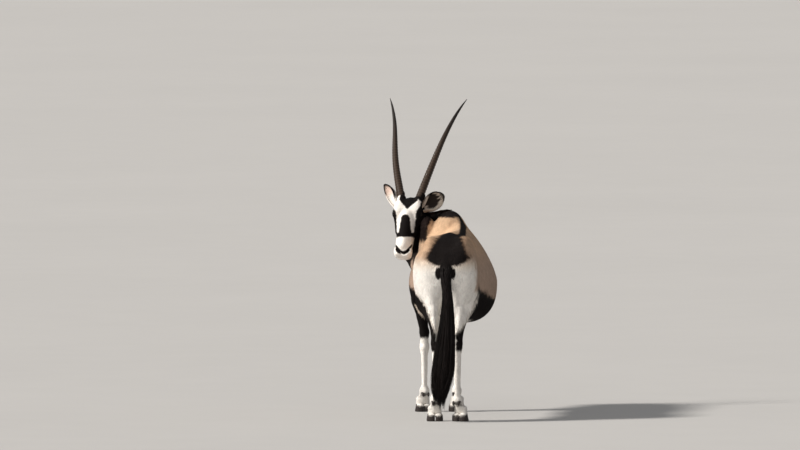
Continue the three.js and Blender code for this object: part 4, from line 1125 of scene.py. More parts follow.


# Materials: the marks, with the painted shade, are colours on the points, and each material adds grain, gloss and bump
# to them


def material(
    name, grain, depth, roughness, gloss_level=0.35, coat=0.0, tone=None, spread=0.12, stretch=(1, 1, 1)
):
    """A procedural material. Grain is in metres, and tone stands in for marks where a piece has none."""
    made = bpy.data.materials.new(name)
    made.use_nodes = True
    nodes, links = made.node_tree.nodes, made.node_tree.links
    shader = nodes["Principled BSDF"]
    shader.inputs["Coat Weight"].default_value = coat
    shader.inputs["Coat Roughness"].default_value = 0.04
    shader.inputs["Specular IOR Level"].default_value = gloss_level
    place = nodes.new("ShaderNodeTexCoord")
    mapping = nodes.new("ShaderNodeMapping")
    mapping.inputs["Scale"].default_value = stretch
    links.new(place.outputs["Object"], mapping.inputs["Vector"])
    fine = nodes.new("ShaderNodeTexNoise")
    fine.inputs["Scale"].default_value = 1 / grain
    fine.inputs["Detail"].default_value = 4
    links.new(mapping.outputs["Vector"], fine.inputs["Vector"])
    coarse = nodes.new("ShaderNodeTexNoise")
    coarse.inputs["Scale"].default_value = 0.12 / grain
    coarse.inputs["Detail"].default_value = 3
    links.new(mapping.outputs["Vector"], coarse.inputs["Vector"])
    both = nodes.new("ShaderNodeMath")
    both.operation = "ADD"
    links.new(fine.outputs["Fac"], both.inputs[0])
    links.new(coarse.outputs["Fac"], both.inputs[1])
    shade = nodes.new("ShaderNodeMapRange")
    shade.inputs["From Min"].default_value = 0.6
    shade.inputs["From Max"].default_value = 1.4
    shade.inputs["To Min"].default_value = 1 - spread
    shade.inputs["To Max"].default_value = 1 + spread
    links.new(both.outputs["Value"], shade.inputs["Value"])
    scale = nodes.new("ShaderNodeVectorMath")
    scale.operation = "SCALE"
    if tone is None:
        source = nodes.new("ShaderNodeVertexColor")
        source.layer_name = "Mark"
        links.new(source.outputs["Color"], scale.inputs["Vector"])
    else:
        scale.inputs["Vector"].default_value = tone
    links.new(shade.outputs["Result"], scale.inputs["Scale"])
    links.new(scale.outputs["Vector"], shader.inputs["Base Color"])
    gloss = nodes.new("ShaderNodeMapRange")
    gloss.inputs["To Min"].default_value = roughness - 0.08
    gloss.inputs["To Max"].default_value = roughness + 0.08
    links.new(coarse.outputs["Fac"], gloss.inputs["Value"])
    links.new(gloss.outputs["Result"], shader.inputs["Roughness"])
    bump = nodes.new("ShaderNodeBump")
    bump.inputs["Strength"].default_value = 0.6
    bump.inputs["Distance"].default_value = depth
    links.new(fine.outputs["Fac"], bump.inputs["Height"])
    links.new(bump.outputs["Normal"], shader.inputs["Normal"])
    return made


SKIN_LOOK = material("skin", 0.0016, 0.0012, 0.85, gloss_level=0.12, stretch=(1, 1, 0.4))
COAT_LOOK = material("coat", 0.004, 0.0006, 0.8, gloss_level=0.15, spread=0.14)
HAIR_LOOK = material("long_hair", 0.003, 0.0005, 0.6, gloss_level=0.13, spread=0.25)
HORN_LOOK = material("horn", 0.004, 0.0012, 0.5, gloss_level=0.22, coat=0.03, spread=0.22, stretch=(1, 1, 0.35))
HOOF_LOOK = material("hoof", 0.003, 0.0008, 0.5, gloss_level=0.3, coat=0.05, spread=0.2, stretch=(0.4, 0.4, 1.6))
EYE_LOOK = material("eye", 0.002, 0.0001, 0.12, coat=1.0, spread=0.1)


# Ears: curled leaves, with their bases sunk in the head and joined into the skin
# An ear's share of the full length, its root on the head, the ways it points and opens, and its breadth
EARS = {
    "left": [0.93, [62, 20, -82], [0.66, 0.42, 0.42], [0.05, -0.95, -0.25], 1.1],
    "right": [1.0, [-68, 26, -78], [-0.48, 0.46, 0.73], [-0.75, -0.66, 0], 0.78],
}
EAR_LEAF = through(
    [
        [0, 24, 22, 165],
        [0.15, 30, 25, 150],
        [0.35, 42, 29, 124],
        [0.55, 47, 28, 106],
        [0.75, 42, 22, 94],
        [0.9, 27, 13, 86],
        [0.97, 14, 7, 82],
        [1, 6, 4, 80],
    ]
)
EAR_THICKNESS = 4.0
EAR_ROWS = 46
EAR_COLUMNS = 26


def ear_point(name, t, v, inset):
    """A point of an ear: t runs to the tip, v across from -1 to 1, and inset from the outside in."""
    share, base, axis, opening, broad = EARS[name]
    way = unit(axis)
    across = unit(np.cross(way, opening))
    front = np.cross(across, way)
    narrow, deep, span = EAR_LEAF(t).T
    wide = narrow * (1 + (broad - 1) * np.minimum(t * 3, 1))
    inset = inset * np.minimum(EAR_THICKNESS, wide * 0.45)
    turn = np.radians(span) * v
    middle = from_head(base) + way * (EAR_LENGTH * share * t)[:, None] + front * (10 * t * t)[:, None]
    w = ((wide - inset) * np.sin(turn))[:, None]
    d = ((deep - inset) * np.cos(turn))[:, None]
    return middle + across * w - front * d


def ear_marks_and_shade(name, t, v, inside):
    """Marks of an ear by place on it, with painted shade in the hollow of the left ear."""
    rough = 0.03 * np.sin(v * 17 + t * 9) + 0.02 * np.sin(v * 41)
    if name == "right":
        c = paint(np.tile(WHITE, (len(t), 1)), PINK, ramp(t, 0.45, 0.8) * 0.6)
        c = np.where(inside[:, None], c, paint(np.tile(WHITE, (len(t), 1)), FAWN, ramp(t, 0.1, 0.5) * 0.3))
        rim = ramp(v + rough, 0.66, 0.84) * ramp(t, 0.2, 0.4)
        rim = np.maximum(rim, ramp(-v + rough, 0.78, 0.92) * ramp(t, 0.62, 0.8))
    else:
        c = paint(np.tile(CREAM, (len(t), 1)), FAWN, ramp(t, 0.5, 0.1) * 0.4)
        # Painted shade: the hollow inside the left ear is dark brown
        hollow = np.hypot((v + rough * 1.6 + 0.06) / 0.6, (t + rough * 1.6 - 0.56) / 0.3)
        outer = paint(c, FAWN, np.full(len(t), 0.15))
        inner = paint(c, DARK_BROWN * 0.6, ramp(hollow, 1.2, 0.8) * 0.97)
        c = np.where(inside[:, None], inner, outer)
        rim = ramp(-v + rough, 0.7, 0.85) * ramp(t, 0.3, 0.5)
    tip = ramp(t + rough + 0.08 * (np.abs(v) - 0.5), 0.84, 0.93)
    return paint(c, BLACK, np.maximum(rim, tip))


def ear_mesh(name):
    rows = np.linspace(0, 1, EAR_ROWS)
    columns = np.linspace(-1, 1, EAR_COLUMNS)
    points, colours, faces = [], [], []
    t, v = np.meshgrid(rows, columns, indexing="ij")
    t, v = t.ravel(), v.ravel()
    for inset in (0.0, 1.0):
        points.append(ear_point(name, t, v, inset))
        colours.append(ear_marks_and_shade(name, t, v, np.full(len(t), inset > 0)))
    i, j = np.meshgrid(np.arange(EAR_ROWS - 1), np.arange(EAR_COLUMNS - 1), indexing="ij")
    here = (i * EAR_COLUMNS + j).ravel()
    outer = np.stack([here, here + 1, here + EAR_COLUMNS + 1, here + EAR_COLUMNS], axis=1)
    inner = outer[:, ::-1] + len(t)
    faces += [outer, inner]
    down = np.arange(EAR_ROWS - 1) * EAR_COLUMNS
    left = np.stack([down, down + EAR_COLUMNS, down + EAR_COLUMNS + len(t), down + len(t)], axis=1)
    right = left[:, ::-1] + EAR_COLUMNS - 1
    faces += [left, right]
    along = np.arange(EAR_COLUMNS - 1)
    bottom = np.stack([along, along + len(t), along + 1 + len(t), along + 1], axis=1)
    top = bottom[:, ::-1] + (EAR_ROWS - 1) * EAR_COLUMNS
    faces += [bottom, top]
    return np.vstack(points), np.vstack(faces)[:, ::-1], np.vstack(colours)


# Skin
skin_points, skin_quads = surface(skin_field, SKIN_AXES)
skin_points, skin_normals = settle(skin_field, skin_points, 4.0)
skin_colours = marks_and_shade(skin_points, skin_normals)
ears = {name: ear_mesh(name) for name in EARS}
all_points, all_faces, all_colours = [skin_points], [skin_quads], [skin_colours]
for points, faces, colours in ears.values():
    start = sum(len(block) for block in all_points)
    all_points.append(points)
    all_faces.append(faces + start)
    all_colours.append(colours)
FLESH = ["torso", "neck_lower", "neck_upper", "head", "ear_left", "ear_right"]
FLESH += [f"{leg}_{half}" for leg in LEGS for half in ("upper", "lower")]
make(
    "skin",
    np.vstack(all_points),
    [np.vstack(all_faces)],
    SKIN_LOOK,
    colours=np.vstack(all_colours),
    replaces=FLESH,
)


# Horns: rings along a line that bends back and out. They stand up in ridges on the lower two thirds.
HORN_LEAN = through(
    [
        [0, 11, 7.6, 19.5],
        [0.25, 12.5, 8, 18],
        [0.46, 14, 8.5, 12.5],
        [0.62, 15, 10.5, 11],
        [0.8, 17, 14.1, 16.5],
        [1, 19, 21.1, 25],
    ]
)
HORN_RADIUS = through([[0, HORN_BASE_RADIUS], [0.2, 22.5], [0.5, 17.5], [0.75, 12], [0.93, 6], [1, 1.6]])
HORN_ROWS = 330
HORN_SIDES = 28
HORN_RINGS = 27
HORN_TONE = colour(56, 43, 33)
HORN_TIP = colour(32, 27, 24)


def horn(side):
    length = HORN_LENGTH * (1 + side * 0.015)
    at = from_head([side * 45, 6, -34])
    rings, colours = [], []
    turn = 2 * math.pi * np.arange(HORN_SIDES) / HORN_SIDES
    for i in range(HORN_ROWS + 1):
        t = i / HORN_ROWS
        back, out_left, out_right = np.radians(HORN_LEAN(t))
        out = out_left if side > 0 else out_right
        way = unit(head_way([side * math.tan(out), -math.cos(back), -math.sin(back)]))
        a = unit(np.cross(way, U))
        b = np.cross(way, a)
        fade = float(clamp((0.66 - t) * 6, 0, 1))
        phase = HORN_RINGS * (t / 0.66) ** 0.94 * 2 * math.pi + 0.35 * np.sin(turn * 2 + side)
        wave = np.sin(phase)
        crest = np.where(wave > 0, np.maximum(wave, 0) ** 0.6 * 0.9, wave * 0.9)
        flute = 0.25 * np.sin(turn * 9 + 2 * t) + 0.18 * np.sin(turn * 14 + 5 * t)
        r = HORN_RADIUS(t)[0] - 0.5 + (crest * 1.25 - 0.2) * fade + flute * (1 - 0.5 * t)
        ring = at + a * (r * 0.94 * np.cos(turn))[:, None] + b * (r * np.sin(turn))[:, None]
        rings.append(ring)
        tone = mix(HORN_TONE, HORN_TIP, ramp(t, 0.35, 0.9))
        worn = 1 + 0.28 * fade * crest + 0.1 * np.sin(turn * 5 + t * 30)
        colours.append(tone * worn[:, None])
        at = at + way * length / HORN_ROWS
    points, faces = loft(rings)
    colours = np.vstack([np.vstack(colours), colours[0][:1], colours[-1][:1]])
    end = "left" if side > 0 else "right"
    make(f"horn_look_{end}", points, faces, HORN_LOOK, colours=colours, replaces=[f"horn_{end}"])


horn(1)
horn(-1)


# Eyes: a ball with a long level pupil, a brown iris and a dark rim
def eye(side):
    way, along, up = eye_frame(side)
    rows = np.radians(np.concatenate([np.linspace(1, 60, 46), np.linspace(64, 176, 20)]))
    turn = -2 * math.pi * np.arange(56) / 56
    rings, colours = [], []
    for tilt in rows:
        bulge = 1 + 0.045 * math.exp(-((tilt / 0.62) ** 4))
        r = (EYE_RADIUS - 0.9) * bulge
        a = r * math.sin(tilt) * np.cos(turn)
        b = r * math.sin(tilt) * np.sin(turn)
        rings.append(eye_place(side) + way * r * math.cos(tilt) + along * a[:, None] + up * b[:, None])
        flat = np.hypot(a / 7.4, b / 3.6)
        round_ = np.hypot(a, b)
        tone = paint(np.tile(colour(74, 42, 22), (len(turn), 1)), colour(30, 17, 10), ramp(round_, 8, 13))
        streak = 0.8 + 0.25 * np.sin(turn * 31 + 3 * np.sin(turn * 7))
        tone = tone * streak[:, None]
        tone = paint(tone, colour(60, 44, 36), ramp(round_, 13.4, 15.5) + (tilt > 1.3))
        tone = paint(tone, colour(4, 4, 6), ramp(flat, 1.12, 0.95) * (tilt < 1))
        colours.append(tone)
    points, faces = loft(rings)
    colours = np.vstack([np.vstack(colours), colours[0][:1], colours[-1][:1]])
    end = "left" if side > 0 else "right"
    make(f"eye_look_{end}", points, faces, EYE_LOOK, colours=colours, replaces=[f"eye_{end}"])


eye(1)
eye(-1)


# Hooves: the solids' claws with round edges and growth rings
CLAW_OUTLINE = through(
    [[0, 0.4, 0.06], [0.09, 0.84, 0], [0.34, 1, 0], [0.62, 0.82, 0], [0.86, 0.44, 0.05], [1, 0.2, 0.14]]
)
CLAW_WALL = through(
    [
        [0, 0.97, 0.95, -41],
        [2.5, 1, 1, -41.6],
        [6, 1, 1.02, -42],
        [22, 0.86, 1, -41],
        [40, 0.7, 0.96, -38],
        [56, 0.58, 0.92, -35],
        [72, 0.5, 0.88, -33],
    ]
)
HOOF_TONE = colour(46, 39, 36)
HOOF_TOP = 43.0  # under the middle of the coronet
HOOF_SLOPE = 0.46  # how much higher it is towards the toe


def claw(leg, toe):
    """toe is -1 for the left claw of the foot and 1 for the right one."""
    joints = LEGS[leg]
    coronet = np.asarray(joints["coronet"], float)
    heading = math.radians(joints["heading"])
    spread = math.radians(joints["heading"] + toe * 7)
    ahead = vec(math.sin(spread), math.cos(spread), 0)
    across = vec(math.cos(heading), -math.sin(heading), 0)
    out = vec(ahead[1], -ahead[0], 0)
    straight = vec(math.sin(heading), math.cos(heading), 0)
    heel = -42
    inner = coronet * [1, 1, 0] + across * toe * 1.2 + straight * heel
    share = np.linspace(0, 1, 26)
    outer_wall, inner_wall = CLAW_OUTLINE(share).T
    rings, colours = [], []
    heights = [*np.linspace(0, 6, 5), *np.linspace(8, 70, 34)]
    for z in heights:
        long, wide, back = CLAW_WALL(z)
        growth = 0.35 * math.sin(z * 0.95) * float(ramp(z, 4, 10))
        start = back - heel
        run = inner + ahead * (start + CLAW_LENGTH * long * share)[:, None]
        walls = [CLAW_WIDTH * wide * w + growth * (w > 0.15) for w in (outer_wall, inner_wall)]
        outer_side, inner_side = (run + out * (toe * wall)[:, None] for wall in walls)
        ring = np.vstack([outer_side, inner_side[::-1]])
        ring[:, 2] = z
        limit = HOOF_TOP + HOOF_SLOPE * ((ring - coronet) @ straight)
        ring[:, 2] = np.minimum(ring[:, 2], limit)
        rings.append(ring)
        tone = mix(HOOF_TONE * 0.8, HOOF_TONE * 1.25, float(ramp(z, 0, 55)))
        shade = 1 + 0.12 * np.sin(z * 0.95) + 0.08 * np.sin(ring[:, 0] * 0.9 + ring[:, 1] * 0.7)
        colours.append(tone * shade[:, None])
    points, faces = loft(rings if toe > 0 else [ring[::-1] for ring in rings])
    colours = colours if toe > 0 else [c[::-1] for c in colours]
    colours = np.vstack([np.vstack(colours), colours[0][:1], colours[-1][:1]])
    name = "left" if toe < 0 else "right"
    make(f"{leg}_hoof_{name}", points, faces, HOOF_LOOK, colours=colours, replaces=[f"{leg}_claw_{name}"])


def dewclaw(leg, toe):
    """A small spur behind the fetlock. toe is as for a claw."""
    joints = LEGS[leg]
    turn = math.radians(joints["heading"])
    ahead = vec(math.sin(turn), math.cos(turn), 0)
    across = vec(math.cos(turn), -math.sin(turn), 0)
    at = np.asarray(joints["fetlock"], float) + across * toe * 15 + [0, 0, -18]
    path = through([[0, 6, 6, 9], [0.35, 22, 0, 9.6], [0.6, 29, -6, 8.4], [0.8, 33, -12, 6.2], [1, 35, -18, 2.2]])
    rings, colours = [], []
    around = 2 * math.pi * np.arange(16) / 16
    for t in np.linspace(0, 1, 22):
        back, z, r = path(t)
        ahead_back, ahead_z, _ = path(min(t + 0.02, 1)) - path(max(t - 0.02, 0))
        way = unit(-ahead * ahead_back + vec(0, 0, ahead_z))
        a = unit(np.cross(way, across))
        r = r - 0.3 + 0.25 * math.sin(t * 40)
        ring = at - ahead * back + [0, 0, z] + across * (r * np.cos(around))[:, None]
        rings.append(ring + a * (r * 0.9 * np.sin(around))[:, None])
        colours.append(np.tile(HOOF_TONE * (0.9 + 0.2 * math.sin(t * 40)), (16, 1)))
    points, faces = loft(rings)
    colours = np.vstack([np.vstack(colours), colours[0][:1], colours[-1][:1]])
    name = "left" if toe < 0 else "right"
    make(f"{leg}_spur_{name}", points, faces, HOOF_LOOK, colours=colours, replaces=[f"{leg}_dewclaw_{name}"])


for leg in LEGS:
    for toe in (-1, 1):
        claw(leg, toe)
        dewclaw(leg, toe)


# Coat: thin tapered tufts that lie along the skin. Each is a closed piece with three sides.


def flow(p, n):
    """The way the coat lies, along the skin."""
    x, y, z = p.T
    way = np.tile(vec(0, -1, -0.3), (len(p), 1))
    rump = ramp(-n[:, 1], 0.3, 0.8)[:, None] * ramp(y, -300, -420)[:, None]
    way = mix(way, vec(0, -0.1, -1), rump)
    low = ramp(z, 760, 560)[:, None]
    way = mix(way, vec(0, -0.12, -1), low)
    out, along = neck_side(p)
    way = mix(way, -along + vec(0, 0, -0.35), neck_weight(p)[:, None])
    q = to_head(p)
    sideways = head_way(np.stack([np.sign(q[:, 0]), 0 * x, 0 * x], axis=1))
    up_face = head_way(np.array([0, -1.0, 0])) + sideways * 0.25
    way = mix(way, up_face, head_weight(p)[:, None])
    turn = 0.22 * wobble(p, 90)
    way = way + np.cross(n, way) * turn[:, None]
    way = way - n * np.einsum("ij,ij->i", way, n)[:, None]
    return unit(way)


TUFT_ROUNDNESS = 0.32  # how far a tuft's two edges look sideways


def tufts(roots, normals, ways, long, wide, lift):
    """Points and faces of tufts from their roots, the skin's normals there and the ways they lie."""
    count = len(roots)
    side = np.cross(normals, ways)
    long, wide, lift = (np.broadcast_to(v, count)[:, None] for v in (long, wide, lift))
    start = roots - normals * 1.1
    middle = roots + ways * long * 0.45 + normals * lift * 0.75
    end = roots + ways * long + normals * lift * 0.85
    points = np.stack(
        [
            start - side * wide * 0.35,
            start + side * wide * 0.35,
            start + normals * 0.9,
            middle - side * wide * 0.5,
            middle + side * wide * 0.5,
            middle + normals * (0.7 + 0.12 * wide),
            end,
        ],
        axis=1,
    )
    first = np.arange(count)[:, None] * 7
    quads = np.vstack([first + [1, 4, 3, 0], first + [2, 5, 4, 1], first + [0, 3, 5, 2]])
    caps = np.vstack([first + [2, 1, 0], first + [4, 6, 3], first + [5, 6, 4], first + [3, 6, 5]])
    return points.reshape(-1, 3), [quads, caps]


def tuft_normals(normals, ways):
    """Normals of the tufts' points. They stay near the skin's own, so that the coat shades as one."""
    side = np.cross(normals, ways) * TUFT_ROUNDNESS
    left = unit(normals - side)
    right = unit(normals + side)
    return np.stack([left, right, normals, left, right, normals, unit(normals + ways * 0.15)], axis=1).reshape(-1, 3)


def scatter(points, quads, density):
    """Random places on the quads, so many to a square millimetre as density gives at each quad's middle."""
    corners = points[quads]
    area = 0.5 * np.linalg.norm(np.cross(corners[:, 2] - corners[:, 0], corners[:, 3] - corners[:, 1]), axis=1)
    wanted = area * density(corners.mean(axis=1))
    count = np.floor(wanted + random.random(len(quads))).astype(int)
    owner = np.repeat(np.arange(len(quads)), count)
    u, v = random.random((2, len(owner), 1))
    a, b, c, d = (points[quads[owner, k]] for k in range(4))
    weights = [(1 - u) * (1 - v), u * (1 - v), u * v, (1 - u) * v]
    place = sum(w * corner for w, corner in zip(weights, (a, b, c, d)))
    return place, owner, weights


def charts(roots, normals, region):
    """A flat layout of the skin: each region and main direction is a chart of its own, packed on shelves."""
    axis_of = np.argmax(np.abs(normals), axis=1)
    sign = np.sign(normals[np.arange(len(roots)), axis_of]) > 0
    key = region * 6 + axis_of * 2 + sign
    flat = np.zeros((len(roots), 2))
    for a, (c, d) in enumerate([(1, 2), (0, 2), (0, 1)]):
        on = axis_of == a
        flat[on] = roots[on][:, [c, d]]
    boxes = []
    for k in np.unique(key):
        on = key == k
        low, high = flat[on].min(axis=0), flat[on].max(axis=0)
        boxes.append([k, low, high - low])
    boxes.sort(key=lambda box: -box[2][1])
    total = math.sqrt(sum((b[2][0] + 20) * (b[2][1] + 20) for b in boxes)) * 1.12
    total = max([total, *[b[2][0] + 20 for b in boxes]])
    at = np.zeros(2)
    shelf = 0.0
    places = {}
    for k, low, size in boxes:
        if at[0] + size[0] > total:
            at = np.array([0, at[1] + shelf + 12])
            shelf = 0.0
        places[k] = at - low
        shelf = max(shelf, size[1])
        at = at + [size[0] + 12, 0]
    side = max(total, at[1] + shelf)
    for k, shift in places.items():
        flat[key == k] += shift
    return 0.004 + 0.992 * flat / side


UV_PATCH = 0.003
# Where the seven points of a tuft lie in its patch
UV_SHAPE = np.array([[-0.35, -0.5], [0.35, -0.5], [0, -0.5], [-0.5, 0], [0.5, 0], [0, 0], [0, 0.5]]) * UV_PATCH


def tuft_uvs(flat):
    return (clamp(flat, UV_PATCH, 1 - UV_PATCH)[:, None, :] + UV_SHAPE).reshape(-1, 2)


def eye_hole(p):
    """1 where a tuft would cover an eye, the nose or the lips."""
    hole = np.zeros(len(p))
    for side in (1, -1):
        _, _, out, opening, away = eye_numbers(p, side)
        hole = np.maximum(hole, (opening < 1.35) & (away < 40) & (out > 0))
    for cut in nostril_cuts + mouth_cuts:
        hole = np.maximum(hole, cut(p) < 2.5)
    return hole


# Sizes of the coat on the body, the lower legs and the head, in millimetres
TUFT_AREA = [37.0, 19.0, 9.6]  # of skin for each tuft
TUFT_LENGTH = [21.0, 12.0, 8.5]
TUFT_WIDTH = [4.4, 2.7, 2.1]
TUFT_LIFT = [1.7, 1.2, 0.8]
SOLE_EDGE = 26  # no tufts grow below this height


def leg_weight(p):
    """0 on the body and 1 on the lower legs."""
    return ramp(p[:, 2], 560, 430)


def by_place(sizes, low, head):
    """A size from those of the body, the lower legs and the head."""
    body_size, leg_size, head_size = sizes
    return mix(mix(body_size, leg_size, low), head_size, head)


def coat_density(p):
    return by_place([1 / area for area in TUFT_AREA], leg_weight(p), head_weight(p)) * (p[:, 2] > SOLE_EDGE)


roots, owner, weights = scatter(skin_points, skin_quads, coat_density)
root_normals = unit(sum(w * skin_normals[skin_quads[owner, k]] for k, w in enumerate(weights)))
keep = eye_hole(roots) < 0.5
roots, root_normals = roots[keep], root_normals[keep]
count = len(roots)
head = head_weight(roots)
low = leg_weight(roots)
long = by_place(TUFT_LENGTH, low, head) * random.uniform(0.75, 1.25, count)
wide = by_place(TUFT_WIDTH, low, head) * random.uniform(0.75, 1.2, count)
lift = by_place(TUFT_LIFT, low, head) * random.uniform(0.6, 1.3, count)
muzzle = ramp(to_head(roots)[:, 1], 200, 290) * head
long = long * mix(1, 0.7, muzzle)
ways = flow(roots, root_normals)
ways = unit(ways + np.cross(root_normals, ways) * random.normal(0, 0.16, (count, 1)))
tones = marks_and_shade(roots + ways * long[:, None] * 0.35, root_normals)
tones = clamp(tones * random.normal(1, 0.06, (count, 1)), 0, 1)
middle = spine_x(roots[:, 1])
region = np.select(
    [
        head > 0.5,
        (roots[:, 2] < 640) & (roots[:, 1] < 0) & (roots[:, 0] < middle),
        (roots[:, 2] < 640) & (roots[:, 1] < 0),
        (roots[:, 2] < 640) & (roots[:, 0] < -110),
        roots[:, 2] < 640,
        (roots[:, 1] > 470) & (roots[:, 0] < -190),
        roots[:, 1] > 470,
        roots[:, 1] < -330,
        roots[:, 0] < middle,
    ],
    range(9),
    9,
)
TUFT_SHADES = np.array([0.94, 0.94, 0.95, 0.99, 0.99, 1.0, 1.04])  # of a tuft's seven points
REGIONS = [
    "head",
    "hindleg_left",
    "hindleg_right",
    "foreleg_left",
    "foreleg_right",
    "neck_left",
    "neck_right",
    "rump",
    "side_left",
    "side_right",
]
for k, name in enumerate(REGIONS):
    on = region == k
    points, faces = tufts(roots[on], root_normals[on], ways[on], long[on], wide[on], lift[on])
    colours = (tones[on][:, None, :] * TUFT_SHADES[:, None]).reshape(-1, 3)
    uvs = tuft_uvs(charts(roots[on], root_normals[on], region[on]))
    shading = tuft_normals(root_normals[on], ways[on])
    make(f"coat_{name}", points, faces, COAT_LOOK, colours=colours, uvs=uvs, normals=shading)


# Long hair: blades that follow a path and taper to their tips. Each is a closed strip with three sides.


def blades(paths, acrosses, wide, thick, profile):
    """Points and faces of blades. Paths are (blades, rows, 3), and profile gives a row's share of the width."""
    count, rows, _ = paths.shape
    ahead = unit(np.gradient(paths, axis=1))
    across = unit(acrosses - ahead * np.einsum("ijk,ijk->ij", acrosses, ahead)[..., None])
    out = np.cross(ahead, across)
    w = (wide[:, None] * profile)[..., None]
    h = (thick[:, None] * profile)[..., None]
    body_points = np.stack([paths - across * w / 2, paths + across * w / 2, paths + out * h], axis=2)
    body_points = body_points[:, :-1].reshape(count, -1, 3)
    points = np.concatenate([body_points, paths[:, -1:]], axis=1)
    size = 3 * (rows - 1) + 1
    first = np.arange(count)[:, None] * size
    quads, caps = [], [first + [2, 1, 0]]
    for row in range(rows - 2):
        for a, b in ((0, 1), (1, 2), (2, 0)):
            quads.append(first + [row * 3 + b, row * 3 + 3 + b, row * 3 + 3 + a, row * 3 + a])
    last = (rows - 2) * 3
    for a, b in ((0, 1), (1, 2), (2, 0)):
        caps.append(first + [last + b, size - 1, last + a])
    return points.reshape(-1, 3), [np.vstack(quads), np.vstack(caps)], size


def blade_uvs(count, rows_of_points):
    """A small patch for every blade, in rows and columns over the whole map."""
    columns = math.ceil(math.sqrt(count))
    i = np.arange(count)
    at = (np.stack([i % columns, i // columns], axis=1) + 0.5) / columns
    patch = min(UV_PATCH, 0.8 / columns)
    share = np.linspace(-0.5, 0.5, rows_of_points)
    shape = np.stack([0.5 * np.cos(np.arange(rows_of_points) * 2.1), share], axis=1) * patch
    return (at[:, None, :] + shape).reshape(-1, 2)


def hair(name, paths, acrosses, wide, thick, profile, tones, look, replaces=()):
    points, faces, size = blades(paths, acrosses, wide, thick, profile)
    colours = np.repeat(tones, size, axis=0)
    return make(name, points, faces, look, colours=colours, uvs=blade_uvs(len(paths), size), replaces=replaces)


# Tail: hair from the dock down, which follows the rows of the solids' tail
TAIL_BLADES = 2300
TAIL_WISPS = 15


def tail_hair():
    """Each blade hangs from the dock and ends in one of the wisps."""
    count = TAIL_BLADES
    rows = 9
    start = random.uniform(1.3, 5.2, count)
    length = random.uniform(3.6, 5.4, count)
    wisp = random.integers(0, TAIL_WISPS, count)
    wisp_turn = (np.arange(TAIL_WISPS) + random.uniform(-0.3, 0.3, TAIL_WISPS)) / TAIL_WISPS * 2 * math.pi
    wisp_depth = np.sqrt(random.uniform(0.1, 1.0, TAIL_WISPS))
    wisp_end = random.uniform(8.3, 9.85, TAIL_WISPS)
    final = wisp_end[wisp]
    end = np.minimum(start + length, final - 0.5 * random.random(count) ** 2)
    turn = wisp_turn[wisp] + random.normal(0, 0.5, count)
    depth = np.sqrt(random.uniform(0.2, 1.0, count))
    swing = random.normal(0, 0.18, count)
    wave = random.normal(0, 1, (count, 3))
    paths = np.zeros((count, rows, 3))
    acrosses = np.zeros((count, rows, 3))
    for i, s in enumerate(np.linspace(0, 1, rows)):
        place = start + (end - start) * s
        z, x, y, w, d = tail_at(place).T
        # The hair stays spread where the tail's outline closes, and parts into wisps
        open_to = ramp(place, 7.8, 9.6)
        w = mix(w, np.maximum(w, 47), open_to)
        d = mix(d, np.maximum(d, 27), open_to)
        gather = clamp((place - 6.0) / (final - 6.0), 0, 1) ** 1.4 * 0.93
        angle = turn + swing * s + (wisp_turn[wisp] - turn) * gather
        depth_here = mix(depth, wisp_depth[wisp], gather)
        reach_out = mix(0.55, 0.9 * depth_here, ramp(s, 0, 0.3)) + 0.03 * wave[:, 0] * s
        paths[:, i, 0] = x + w * reach_out * np.cos(angle) + 2.5 * wave[:, 1] * np.sin(6 * s + wave[:, 2]) * s
        paths[:, i, 1] = y + d * reach_out * np.sin(angle) + 2.0 * wave[:, 2] * np.sin(5 * s + wave[:, 1]) * s
        paths[:, i, 2] = z
        acrosses[:, i, 0] = -np.sin(angle)
        acrosses[:, i, 1] = np.cos(angle)
    wide = random.uniform(2.4, 5.2, count)
    thick = wide * 0.3
    profile = np.array([0.5, 0.85, 1, 1, 0.95, 0.85, 0.7, 0.45, 0.0])
    shade = random.uniform(0.45, 1.25, (count, 1))
    tones = BLACK * shade * mix(np.ones(3), vec(1.15, 1.0, 0.9), random.random((count, 1)))
    hair("tail_hair", paths, acrosses, wide, thick, profile, tones, HAIR_LOOK, replaces=["tail"])


tail_hair()


# Dock: short black hair over the root of the tail and down to where the long hair starts
DOCK_BLADES = 900


def dock_hair():
    count = DOCK_BLADES
    place = random.uniform(0.0, 4.4, count)
    turn = random.uniform(0, 2 * math.pi, count)
    radius = np.interp(place, [row[0] for row in TAIL_DOCK], [row[1] for row in TAIL_DOCK])
    share = np.linspace(0, 1, 5)
    paths = np.zeros((count, 5, 3))
    acrosses = np.zeros((count, 5, 3))
    for i, s in enumerate(share):
        later = np.minimum(place + 0.75 * s, 6)
        z, x, y, _, _ = tail_at(later).T
        r = radius + 1 + 4.5 * np.sin(math.pi * min(s, 0.8))
        paths[:, i] = np.stack([x + r * np.cos(turn), y + r * np.sin(turn) * 0.95, z], axis=1)
        acrosses[:, i] = np.stack([-np.sin(turn), np.cos(turn), 0 * turn], axis=1)
    wide = random.uniform(4, 7.5, count)
    tones = BLACK * random.uniform(0.7, 1.4, (count, 1))
    profile = np.array([0.6, 1, 0.95, 0.6, 0])
    hair("dock_hair", paths, acrosses, wide, wide * 0.25, profile, tones, HAIR_LOOK)


dock_hair()


# Mane: upright dark hair on the crest of the neck, leaning back to the withers
MANE_LINE = through(
    [[i, *row[:3]] for i, row in enumerate([[-40, 270, 1060], *NECK_CREST])]
)


MANE_BLADES = 2800


